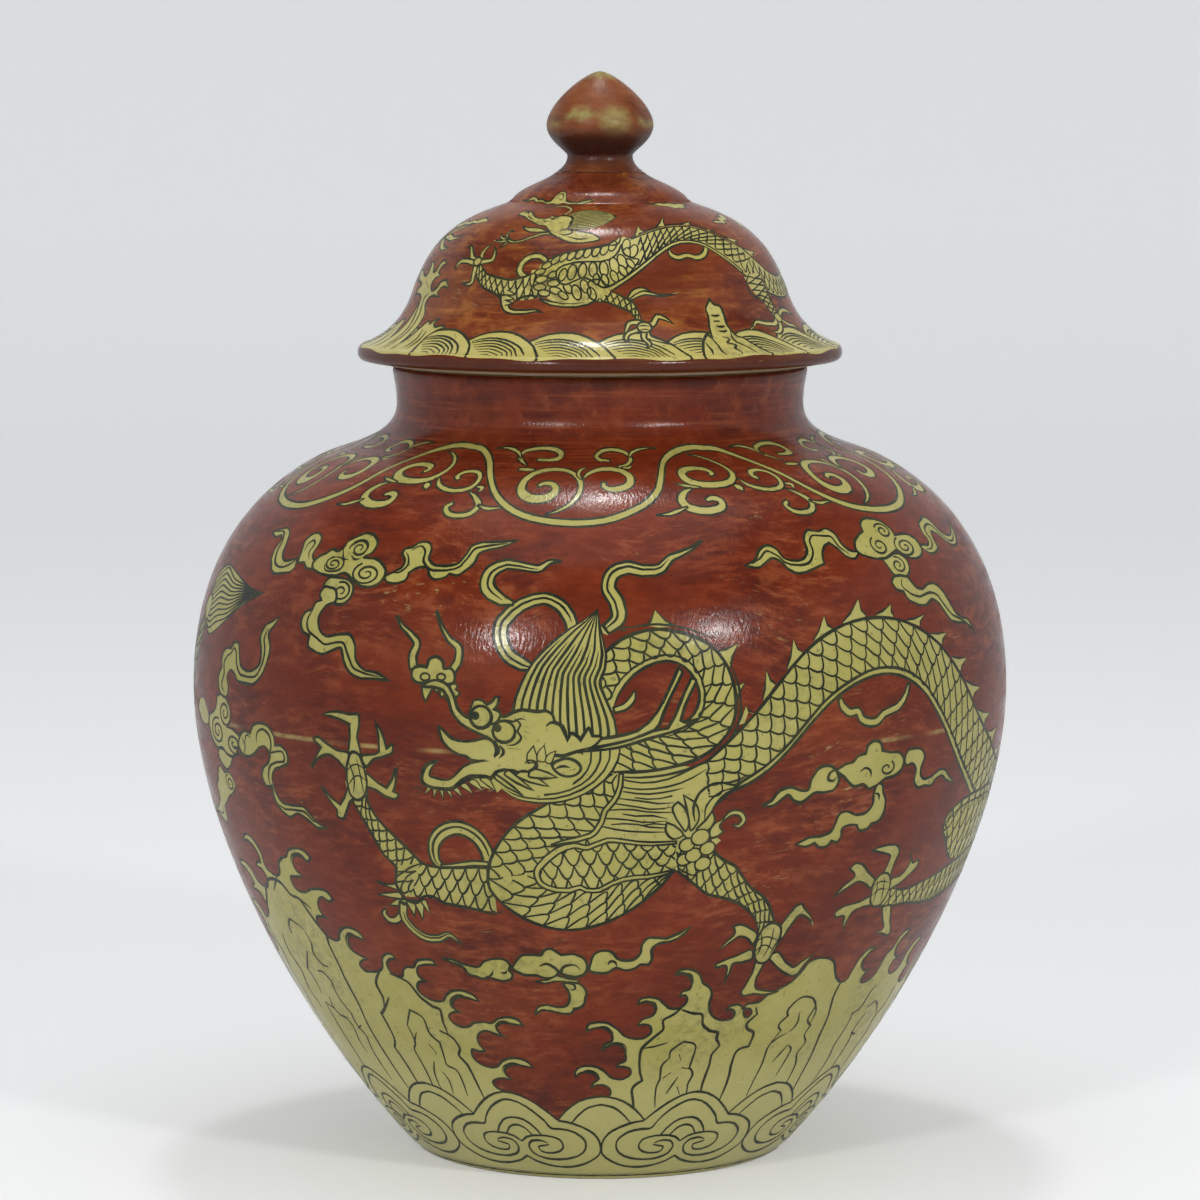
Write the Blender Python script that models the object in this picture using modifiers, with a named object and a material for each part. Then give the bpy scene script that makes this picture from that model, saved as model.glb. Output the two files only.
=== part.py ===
"""A covered porcelain jar: a swelling body on a trimmed foot, a short neck, and a domed lid with a bud knob.

The potter throws the body in two bowls and joins them rim to rim, adds the neck, and throws the lid,
its locating flange and its knob by themselves. Each of those turned pieces is one object here.
Metres, +Z up, with the origin under the middle of the foot.
"""

import math

import bpy
from mathutils import Vector
from mathutils.geometry import interpolate_bezier

# The jar's body: the neck hangs from the lip, and its join is counted from the shoulder
JAR_HEIGHT = 0.2195
LIP_RADIUS = 0.0578
LIP_DEPTH = 0.0105
NECK_RADIUS = 0.0567
NECK_LENGTH = 0.0152
NECK_JOIN_RISE = 0.0092
SHOULDER_RADIUS = 0.0789
BELLY_RADIUS = 0.1137
BELLY_HEIGHT = 0.1303
BODY_JOIN_HEIGHT = 0.1260
FOOT_RADIUS = 0.0520
JAR_WALL = 0.0052

# Edges and the trimmed foot
LIP_ROUND = 0.0014
FOOT_ROUND = 0.0012
FOOT_RING_WIDTH = 0.0062
FOOT_RECESS = 0.0045
FOOT_SLOPE = 0.0018
FLOOR_THICKNESS = 0.0070
FLOOR_DISH = 0.0015
FLOOR_CORNER_WIDTH = 0.0150
FLOOR_CORNER_HEIGHT = 0.0100

# The lid: heights are counted from the flat under its brim
LID_RADIUS = 0.0675
LID_EDGE_HEIGHT = 0.0048
LID_EDGE_ROUND = 0.0022
LID_EDGE_RISE = 0.0010
LID_FLARE_RADIUS = 0.0657
LID_WAIST_RADIUS = 0.0522
LID_WAIST_HEIGHT = 0.0203
LID_DOME_RADIUS = 0.0260
LID_DOME_HEIGHT = 0.0446
LID_STEP_RADIUS = 0.0246
LID_STEP_DROP = 0.0007
LID_TOP_HEIGHT = 0.0532
LID_WALL = 0.0050
LID_CEILING_RISE = 0.0018
LID_SEAT_WIDTH = 0.0085

# The flange that keeps the lid in the neck
FLANGE_DEPTH = 0.0140
FLANGE_WALL = 0.0036
FLANGE_TAPER = 0.0008
FLANGE_ROUND = 0.0012
FLANGE_CLEARANCE = 0.0012

# The bud knob, counted from its base
KNOB_HEIGHT = 0.0273
KNOB_RADIUS = 0.0149
KNOB_WIDEST = 0.0125
KNOB_STEM_RADIUS = 0.0091
KNOB_STEM_HEIGHT = 0.0040
KNOB_BASE_RADIUS = 0.0120

# The layer of slip at each join, and the gap under the resting lid
JOIN_GAP = 0.0003
SEAT_GAP = 0.0003

SEGMENTS = 48
MERGE_DISTANCE = 0.00001
SMOOTH_ANGLE = math.radians(35)

# How far a round edge's handles reach towards its corner
ROUND_SHARE = 0.55

# Bezier handles: shares of the width and height of the stretch that they shape, from its upper end
LIP_SHARES = ((0.40, 0.30), (1.00, 0.55))
NECK_SHARES = ((0.00, 0.65), (0.665, 0.75))
SHOULDER_SHARES = ((0.43, 0.12), (1.00, 0.39))
LOWER_WALL_SHARES = ((0.00, 0.32), (0.52, 0.76))
FLOOR_SHARES = ((0.28, 0.55), (0.72, 1.00))
STEP_SHARES = ((0.20, 0.31), (0.83, 0.52))
DOME_SHARES = ((0.47, 0.17), (0.79, 0.34))
FLARE_SHARES = ((0.19, 0.53), (0.50, 0.82))
CEILING_SHARES = ((0.40, 0.00), (0.70, 0.35))
BUD_SHARES = ((0.15, 0.00), (1.00, 0.65))
BUD_UNDERSIDE_SHARES = ((0.00, 0.52), (1.00, 0.85))
STEM_SHARES = ((0.00, 0.40), (0.45, 0.80))

# Points along each of those stretches, with both ends counted
LIP_POINTS = 3
NECK_POINTS = 7
SHOULDER_POINTS = 9
LOWER_WALL_POINTS = 12
FLOOR_POINTS = 5
STEP_POINTS = 6
DOME_POINTS = 10
FLARE_POINTS = 6
CEILING_POINTS = 4
BUD_POINTS = 10
BUD_UNDERSIDE_POINTS = 7
STEM_POINTS = 5
ROUND_POINTS = 3
LID_EDGE_POINTS = 4

RED_ENAMEL = ("red_enamel", (0.230, 0.038, 0.020, 1.0), 0.22)
KNOB_ENAMEL = ("knob_enamel", (0.240, 0.060, 0.030, 1.0), 0.25)
BARE_PORCELAIN = ("bare_porcelain", (0.560, 0.470, 0.380, 1.0), 0.75)


def at(radius, height):
    """A point of a profile, which stands in the XZ plane at +X."""
    return Vector((radius, 0.0, height))


def stretch(upper, shares, lower, count):
    """One curved stretch of a profile, from its upper point to its lower one."""
    span = lower - upper
    handles = [upper + at(span.x * across, span.z * down) for across, down in shares]
    return interpolate_bezier(upper, handles[0], handles[1], lower, count)


def round_edge(start, corner, end, count):
    """The points of a round edge that would otherwise meet in a corner."""
    leave = start.lerp(corner, ROUND_SHARE)
    arrive = end.lerp(corner, ROUND_SHARE)
    return interpolate_bezier(start, leave, arrive, end, count)


def joined(*stretches):
    """Stretches run together, with the points that they share kept once."""
    points = []
    for part in stretches:
        for point in part:
            if not points or (point - points[-1]).length > MERGE_DISTANCE:
                points.append(point)
    return points


def inset(points, wall):
    """The same line moved in by the thickness of the wall, square to it. The points run down the outside."""
    moved = []
    for index, point in enumerate(points):
        before = points[max(index - 1, 0)]
        after = points[min(index + 1, len(points) - 1)]
        along = (after - before).normalized()
        moved.append(point + at(along.z, -along.x) * wall)
    return moved


def between(points, top, bottom):
    """The part of a falling line from the height top down to the height bottom, cut level at both ends."""
    kept = []
    for upper, lower in zip(points, points[1:]):
        if lower.z >= top or upper.z <= bottom:
            continue
        for height in (min(upper.z, top), max(lower.z, bottom)):
            share = (upper.z - height) / (upper.z - lower.z)
            kept.append(upper.lerp(lower, share))
    return joined(kept)


def finish_material(finish):
    """The material of one finish: its name, its colour and its roughness."""
    name, colour, roughness = finish
    material = bpy.data.materials.get(name)
    if material is None:
        material = bpy.data.materials.new(name)
        material.use_nodes = True
        shader = material.node_tree.nodes["Principled BSDF"]
        shader.inputs["Base Color"].default_value = colour
        shader.inputs["Roughness"].default_value = roughness
        shader.inputs["Metallic"].default_value = 0.0
    return material


def turned(name, profile, closed, finish, holder):
    """A piece thrown on the wheel: its profile turned round the holder's Z axis."""
    edges = [(index, index + 1) for index in range(len(profile) - 1)]
    if closed:
        edges.append((len(profile) - 1, 0))
    mesh = bpy.data.meshes.new(name)
    mesh.from_pydata(profile, edges, [])
    piece = bpy.data.objects.new(name, mesh)
    jar_collection.objects.link(piece)
    piece.parent = holder
    wheel = piece.modifiers.new("Wheel", "SCREW")
    wheel.axis = "Z"
    wheel.angle = math.tau
    wheel.steps = SEGMENTS
    wheel.render_steps = SEGMENTS
    wheel.use_merge_vertices = True
    wheel.merge_threshold = MERGE_DISTANCE
    piece.data.materials.append(finish_material(finish))
    smooth = bpy.data.meshes.new_from_object(piece.evaluated_get(bpy.context.evaluated_depsgraph_get()))
    piece.modifiers.remove(wheel)
    piece.data = smooth
    bpy.data.meshes.remove(mesh)
    smooth.name = name
    smooth.shade_smooth()
    smooth.set_sharp_from_angle(angle=SMOOTH_ANGLE)
    return piece


def axis_empty(name, height):
    """An empty on the jar's axis, which the pieces of one body hang from."""
    empty = bpy.data.objects.new(name, None)
    empty.location = (0.0, 0.0, height)
    jar_collection.objects.link(empty)
    return empty


def shoulder_height():
    """Where the neck's lower curve meets the shoulder."""
    return JAR_HEIGHT - LIP_DEPTH - NECK_LENGTH


def jar_outside():
    """The outside of the whole jar from just under its lip to its foot."""
    lip = at(LIP_RADIUS, JAR_HEIGHT - LIP_ROUND)
    neck = at(NECK_RADIUS, JAR_HEIGHT - LIP_DEPTH)
    shoulder = at(SHOULDER_RADIUS, shoulder_height())
    belly = at(BELLY_RADIUS, BELLY_HEIGHT)
    foot = at(FOOT_RADIUS, 0.0)
    return joined(
        stretch(lip, LIP_SHARES, neck, LIP_POINTS),
        stretch(neck, NECK_SHARES, shoulder, NECK_POINTS),
        stretch(shoulder, SHOULDER_SHARES, belly, SHOULDER_POINTS),
        stretch(belly, LOWER_WALL_SHARES, foot, LOWER_WALL_POINTS),
    )


def jar_lower_body(holder, outside, inside):
    """The lower bowl: wall, floor, and the foot ring trimmed out of the base under it."""
    top = BODY_JOIN_HEIGHT - JOIN_GAP / 2
    base_height = FOOT_RECESS
    floor_height = base_height + FLOOR_THICKNESS
    wall_inside = between(inside, top, floor_height + FLOOR_CORNER_HEIGHT)
    wall_outside = between(outside, top, FOOT_ROUND)
    floor_edge = at(wall_inside[-1].x - FLOOR_CORNER_WIDTH, floor_height)
    floor_corner = stretch(wall_inside[-1], FLOOR_SHARES, floor_edge, FLOOR_POINTS)
    foot_edge = wall_outside[-1]
    bearing_edge = at(foot_edge.x - FOOT_ROUND, 0.0)
    foot_turn = round_edge(foot_edge, at(foot_edge.x, 0.0), bearing_edge, ROUND_POINTS)
    recess_mouth = at(bearing_edge.x - FOOT_RING_WIDTH, 0.0)
    recess_corner = at(recess_mouth.x - FOOT_SLOPE, base_height)
    profile = joined(
        [at(0.0, floor_height - FLOOR_DISH)],
        reversed(floor_corner),
        reversed(wall_inside),
        wall_outside,
        foot_turn,
        [recess_mouth, recess_corner, at(0.0, base_height)],
    )
    return turned("jar_lower_body", profile, False, RED_ENAMEL, holder)


def jar_upper_body(holder, outside, inside):
    """The upper bowl, thrown upside down: belly and shoulder, up to where the neck is joined on."""
    top = shoulder_height() + NECK_JOIN_RISE - JOIN_GAP / 2
    bottom = BODY_JOIN_HEIGHT + JOIN_GAP / 2
    profile = joined(between(outside, top, bottom), reversed(between(inside, top, bottom)))
    return turned("jar_upper_body", profile, True, RED_ENAMEL, holder)


def jar_neck(holder, outside, inside):
    """The short neck, a little flared, with a rounded lip that the lid rests on."""
    bottom = shoulder_height() + NECK_JOIN_RISE + JOIN_GAP / 2
    wall_outside = between(outside, outside[0].z, bottom)
    wall_inside = between(inside, outside[0].z, bottom)
    outer_edge = wall_outside[0]
    inner_edge = wall_inside[0]
    outer_top = at(outer_edge.x - LIP_ROUND, JAR_HEIGHT)
    inner_top = at(inner_edge.x + LIP_ROUND, JAR_HEIGHT)
    outer_turn = round_edge(outer_top, at(outer_edge.x, JAR_HEIGHT), outer_edge, ROUND_POINTS)
    inner_turn = round_edge(inner_edge, at(inner_edge.x, JAR_HEIGHT), inner_top, ROUND_POINTS)
    profile = joined(outer_turn, wall_outside, reversed(wall_inside), inner_turn)
    return turned("jar_neck", profile, True, RED_ENAMEL, holder)


def flange_radius():
    """The flange's outer radius: what the neck leaves free, less the clearance that lets the lid lift out."""
    return NECK_RADIUS - JAR_WALL - FLANGE_CLEARANCE


def lid_dome(holder):
    """The domed lid: a raised step for the knob, the dome, and a brim that flares past the neck."""
    step_top = at(KNOB_BASE_RADIUS, LID_TOP_HEIGHT)
    step_edge = at(LID_STEP_RADIUS, LID_DOME_HEIGHT + LID_STEP_DROP)
    shoulder = at(LID_DOME_RADIUS, LID_DOME_HEIGHT)
    waist = at(LID_WAIST_RADIUS, LID_WAIST_HEIGHT)
    flare = at(LID_FLARE_RADIUS, LID_EDGE_RISE + LID_EDGE_HEIGHT)
    edge_bottom = at(LID_RADIUS - LID_EDGE_ROUND, LID_EDGE_RISE)
    widest = at(LID_RADIUS, LID_EDGE_RISE + LID_EDGE_ROUND)
    seat_inside = flange_radius() - FLANGE_WALL
    seat_edge = at(flange_radius() + LID_SEAT_WIDTH, 0.0)
    dome = stretch(shoulder, DOME_SHARES, waist, DOME_POINTS)
    hollow = inset(dome, LID_WALL)
    hollow_mouth = at(seat_inside, 0.0)
    ceiling = stretch(at(0.0, hollow[0].z + LID_CEILING_RISE), CEILING_SHARES, hollow[0], CEILING_POINTS)
    profile = joined(
        [at(0.0, LID_TOP_HEIGHT)],
        stretch(step_top, STEP_SHARES, step_edge, STEP_POINTS),
        dome,
        stretch(waist, FLARE_SHARES, flare, FLARE_POINTS),
        round_edge(flare, at(LID_RADIUS, flare.z), widest, LID_EDGE_POINTS),
        round_edge(widest, at(LID_RADIUS, LID_EDGE_RISE), edge_bottom, LID_EDGE_POINTS),
        [seat_edge, hollow_mouth],
        reversed(hollow),
        reversed(ceiling),
    )
    return turned("lid_dome", profile, False, RED_ENAMEL, holder)


def lid_flange(holder):
    """The unglazed collar under the lid that drops into the neck."""
    outer = flange_radius()
    inner = outer - FLANGE_WALL
    top = -JOIN_GAP
    foot = -FLANGE_DEPTH
    outer_foot = at(outer - FLANGE_TAPER, foot)
    inner_foot = at(inner - FLANGE_TAPER / 2, foot)
    rise = at(0.0, FLANGE_ROUND)
    run = at(FLANGE_ROUND, 0.0)
    profile = joined(
        [at(outer, top)],
        round_edge(outer_foot + rise, outer_foot, outer_foot - run, ROUND_POINTS),
        round_edge(inner_foot + run, inner_foot, inner_foot + rise, ROUND_POINTS),
        [at(inner, top)],
    )
    return turned("lid_flange", profile, True, BARE_PORCELAIN, holder)


def lid_knob(holder):
    """The solid bud knob on its waisted stem, joined to the flat on top of the dome."""
    base = LID_TOP_HEIGHT + JOIN_GAP
    tip = at(0.0, base + KNOB_HEIGHT)
    widest = at(KNOB_RADIUS, base + KNOB_WIDEST)
    stem = at(KNOB_STEM_RADIUS, base + KNOB_STEM_HEIGHT)
    foot = at(KNOB_BASE_RADIUS, base)
    profile = joined(
        stretch(tip, BUD_SHARES, widest, BUD_POINTS),
        stretch(widest, BUD_UNDERSIDE_SHARES, stem, BUD_UNDERSIDE_POINTS),
        stretch(stem, STEM_SHARES, foot, STEM_POINTS),
        [at(0.0, base)],
    )
    return turned("lid_knob", profile, False, KNOB_ENAMEL, holder)


for old in list(bpy.data.objects):
    bpy.data.objects.remove(old)
jar_collection = bpy.data.collections.new("covered_jar")
bpy.context.scene.collection.children.link(jar_collection)

jar_axis = axis_empty("jar_axis", 0.0)
whole_outside = jar_outside()
whole_inside = inset(whole_outside, JAR_WALL)
jar_lower_body(jar_axis, whole_outside, whole_inside)
jar_upper_body(jar_axis, whole_outside, whole_inside)
jar_neck(jar_axis, whole_outside, whole_inside)

# The lid lifts straight up this axis
lid_axis = axis_empty("lid_axis", JAR_HEIGHT + SEAT_GAP)
lid_dome(lid_axis)
lid_flange(lid_axis)
lid_knob(lid_axis)
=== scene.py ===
import math

import bpy
import numpy as np
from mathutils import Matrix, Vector
from mathutils.geometry import delaunay_2d_cdt, interpolate_bezier


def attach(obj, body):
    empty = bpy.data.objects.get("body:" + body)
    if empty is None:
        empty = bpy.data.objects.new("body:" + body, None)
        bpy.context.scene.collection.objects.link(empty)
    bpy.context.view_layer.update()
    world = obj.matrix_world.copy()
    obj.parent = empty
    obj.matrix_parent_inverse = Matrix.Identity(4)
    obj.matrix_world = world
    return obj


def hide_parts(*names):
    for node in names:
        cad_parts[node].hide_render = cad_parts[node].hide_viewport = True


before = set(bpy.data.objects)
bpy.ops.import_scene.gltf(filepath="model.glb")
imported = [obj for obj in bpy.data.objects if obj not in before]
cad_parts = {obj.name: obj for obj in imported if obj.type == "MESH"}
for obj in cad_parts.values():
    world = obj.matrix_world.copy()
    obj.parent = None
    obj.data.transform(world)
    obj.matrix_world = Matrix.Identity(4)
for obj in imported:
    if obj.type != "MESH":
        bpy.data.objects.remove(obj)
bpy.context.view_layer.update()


# The place where the jar is photographed: a pale paper floor that curves up into a wall all round, two small
# lamps in front, one behind and a wide soft one over all, and a lens that looks slightly down from 1.35 m
# away. Sizes are in metres and powers in watts.
CAMERA_PLACE = (0.0, -1.346, 0.3034)
CAMERA_DIP = 0.111
CAMERA_LENS = 145.1
SENSOR_WIDTH = 36.0
SEEN_AS_FAR_AS = 20.0
FLOOR_REACH = 2.4
COVE_RADIUS = 1.2
WALL_TOP_HEIGHT = 2.6
COVE_STEPS = 16
COVE_SIDES = 96
PAPER = (0.88, 0.885, 0.89, 1.0)
PAPER_DULL = 0.75
PAPER_GLOSS = 0.2
GLOW_COLOUR = (0.97, 0.985, 1.0, 1.0)
GLOW_NEAR = 0.275
GLOW_FAR = 0.455
GLOW_FROM = 0.4
GLOW_TO = 3.0
ROOM_COLOUR = (0.90, 0.95, 1.0, 1.0)
ROOM_STRENGTH = 0.20
JAR_MIDDLE = Vector((0.0, 0.0, 0.15))
# Each lamp's name, place, width, power and the angle in degrees to which its light is kept.
SOFT_BOXES = (
    ("front_left", (-0.68, -1.32, 0.80), 0.18, 1.65, 100.0),
    ("front_right", (0.80, -1.18, 0.84), 0.17, 1.65, 100.0),
    ("ceiling", (-0.02, 0.36, 1.70), 0.17, 4.0, 180.0),
    ("over_all", (0.0, -0.2, 2.3), 2.0, 14.0, 180.0),
)

lens = bpy.data.cameras.new("lens")
lens.sensor_width = SENSOR_WIDTH
lens.lens = CAMERA_LENS
lens.clip_end = SEEN_AS_FAR_AS
camera = bpy.data.objects.new("camera", lens)
camera.location = CAMERA_PLACE
camera.rotation_euler = (math.pi / 2 - CAMERA_DIP, 0.0, 0.0)
bpy.context.scene.collection.objects.link(camera)
bpy.context.scene.camera = camera
bpy.context.scene.view_settings.view_transform = "Standard"

cove_line = [(FLOOR_REACH, 0.0)]
for step in range(1, COVE_STEPS + 1):
    turn = math.pi / 2 * step / COVE_STEPS
    cove_line.append((FLOOR_REACH + COVE_RADIUS * math.sin(turn), COVE_RADIUS * (1 - math.cos(turn))))
cove_line.append((FLOOR_REACH + COVE_RADIUS, WALL_TOP_HEIGHT))
cove_points = []
for reach, height in cove_line:
    for side in range(COVE_SIDES):
        turn = math.tau * side / COVE_SIDES
        cove_points.append((reach * math.cos(turn), reach * math.sin(turn), height))
cove_faces = [tuple(range(COVE_SIDES))]
for row in range(len(cove_line) - 1):
    for side in range(COVE_SIDES):
        start, end = row * COVE_SIDES + side, row * COVE_SIDES + (side + 1) % COVE_SIDES
        cove_faces.append((start, start + COVE_SIDES, end + COVE_SIDES, end))
cove_mesh = bpy.data.meshes.new("cove")
cove_mesh.from_pydata(cove_points, [], cove_faces)
cove_mesh.shade_smooth()
cove = bpy.data.objects.new("cove", cove_mesh)
bpy.context.scene.collection.objects.link(cove)

# The paper looks paler to the lens, in gloss and through glass than it lights the jar, most of all far off.
paper = bpy.data.materials.new("pale_paper")
paper.use_nodes = True
paper_shader = paper.node_tree.nodes["Principled BSDF"]
paper_shader.inputs["Base Color"].default_value = PAPER
paper_shader.inputs["Roughness"].default_value = PAPER_DULL
paper_shader.inputs["Specular IOR Level"].default_value = PAPER_GLOSS
paper_shader.inputs["Emission Color"].default_value = GLOW_COLOUR
seen = paper.node_tree.nodes.new("ShaderNodeLightPath")
place = paper.node_tree.nodes.new("ShaderNodeTexCoord")
off_middle = paper.node_tree.nodes.new("ShaderNodeVectorMath")
off_middle.operation = "LENGTH"
falloff = paper.node_tree.nodes.new("ShaderNodeMapRange")
for socket, value in zip(falloff.inputs[1:5], (GLOW_FROM, GLOW_TO, GLOW_NEAR, GLOW_FAR)):
    socket.default_value = value
camera_or_gloss, or_through, glow = (paper.node_tree.nodes.new("ShaderNodeMath") for step in range(3))
camera_or_gloss.operation = or_through.operation = "MAXIMUM"
glow.operation = "MULTIPLY"
for giver, taker in (
    (seen.outputs["Is Camera Ray"], camera_or_gloss.inputs[0]),
    (seen.outputs["Is Glossy Ray"], camera_or_gloss.inputs[1]),
    (camera_or_gloss.outputs[0], or_through.inputs[0]),
    (seen.outputs["Is Transmission Ray"], or_through.inputs[1]),
    (place.outputs["Object"], off_middle.inputs[0]),
    (off_middle.outputs["Value"], falloff.inputs[0]),
    (or_through.outputs[0], glow.inputs[0]),
    (falloff.outputs[0], glow.inputs[1]),
    (glow.outputs[0], paper_shader.inputs["Emission Strength"]),
):
    paper.node_tree.links.new(giver, taker)
cove_mesh.materials.append(paper)

room = bpy.data.worlds.new("room")
bpy.context.scene.world = room
room.use_nodes = True
room.node_tree.nodes["Background"].inputs["Color"].default_value = ROOM_COLOUR
room.node_tree.nodes["Background"].inputs["Strength"].default_value = ROOM_STRENGTH

for name, place, size, power, opening in SOFT_BOXES:
    lamp = bpy.data.lights.new(name, "AREA")
    lamp.size = size
    lamp.energy = power
    lamp.spread = math.radians(opening)
    holder = bpy.data.objects.new(name, lamp)
    holder.location = place
    holder.rotation_euler = (JAR_MIDDLE - Vector(place)).to_track_quat("-Z", "Y").to_euler()
    bpy.context.scene.collection.objects.link(holder)


# The jar itself: porcelain thrown in two bowls and a neck, luted together with slip and covered all over
# the outside with an olive-yellow glaze. Inside it has a pale glaze, and the foot ring is wiped bare.
# All sizes here are in millimetres, on the line of the wall from the lip down to the foot.
MM = 0.001
UNDER = 0.12
JAR_HEIGHT = 219.5
JAR_WALL = 5.2
LIP = (57.8, 218.1)
LIP_ROUND = 1.4
NECK = (56.7, 209.0)
SHOULDER = (78.9, 193.8)
BELLY = (113.7, 130.3)
FOOT = (52.0, 0.0)
FOOT_ROUND = 1.2
FOOT_RING = 6.2
FOOT_RECESS = 4.5
FLOOR = 11.5
NECK_BEND = ((0.40, 0.30), (1.0, 0.55))
SHOULDER_BEND = ((0.0, 0.65), (0.665, 0.75))
BELLY_BEND = ((0.43, 0.12), (1.0, 0.39))
FOOT_BEND = ((0.0, 0.32), (0.52, 0.76))
PULL_TO_CORNER = 0.55
SAME_POINT = 0.02
SEAM_GAP = 0.002
TURNINGS = 240


def at(radius, height):
    """A point of a profile."""
    return Vector((radius, 0.0, height))


def bent(upper, shares, lower, count):
    """A stretch of a profile from its upper point down to its lower one, bent by the shares of its span."""
    upper, lower = at(*upper), at(*lower)
    span = lower - upper
    handles = [upper + at(span.x * across, span.z * down) for across, down in shares]
    return interpolate_bezier(upper, handles[0], handles[1], lower, count)


def rounded(start, corner, end, count=7):
    """A round edge in place of a corner."""
    start, corner, end = at(*start), at(*corner), at(*end)
    handles = [point.lerp(corner, PULL_TO_CORNER) for point in (start, end)]
    return interpolate_bezier(start, *handles, end, count)


def run_together(*stretches):
    """Stretches of a profile as one line, without doubled points."""
    line = []
    for stretch in stretches:
        for point in stretch:
            if not line or (point - line[-1]).length > SAME_POINT:
                line.append(point)
    return line


def moved_in(line, depth):
    """The line moved in from the outside by a depth, square to itself. It runs down the outside."""
    moved = []
    for index, point in enumerate(line):
        along = (line[min(index + 1, len(line) - 1)] - line[max(index - 1, 0)]).normalized()
        moved.append(point + at(along.z, -along.x) * depth)
    return moved


def line_mesh(name, line):
    """A profile as a mesh of edges, in metres, for the wheel."""
    mesh = bpy.data.meshes.new(name)
    mesh.from_pydata([point * MM for point in line], [(step, step + 1) for step in range(len(line) - 1)], [])
    return mesh


jar_outside = run_together(
    bent(LIP, NECK_BEND, NECK, 16),
    bent(NECK, SHOULDER_BEND, SHOULDER, 44),
    bent(SHOULDER, BELLY_BEND, BELLY, 48),
    bent(BELLY, FOOT_BEND, FOOT, 84),
)
jar_outside = moved_in(jar_outside, UNDER)


def hands(tree):
    """Two helpers for one tree: one adds a node and feeds it values or sockets, the other adds a sum."""
    def node(kind, feeds=None, **settings):
        made = tree.nodes.new(kind)
        for key, value in settings.items():
            setattr(made, key, value)
        for key, value in (feeds or {}).items():
            if isinstance(value, bpy.types.NodeSocket):
                tree.links.new(value, made.inputs[key])
            else:
                made.inputs[key].default_value = value
        return made.outputs[0] if len(made.outputs) == 1 and "node_tree" not in settings else made

    def reckon(operation, *values):
        return node("ShaderNodeMath", dict(enumerate(values)), operation=operation)

    return node, reckon


def sockets(tree, ins, outs):
    """Names the sockets of a tree and returns its group input and output nodes."""
    for way, named in (("INPUT", ins), ("OUTPUT", outs)):
        for name, kind in named:
            tree.interface.new_socket(name, in_out=way, socket_type="NodeSocket" + kind)
    return tree.nodes.new("NodeGroupInput"), tree.nodes.new("NodeGroupOutput")


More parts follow.
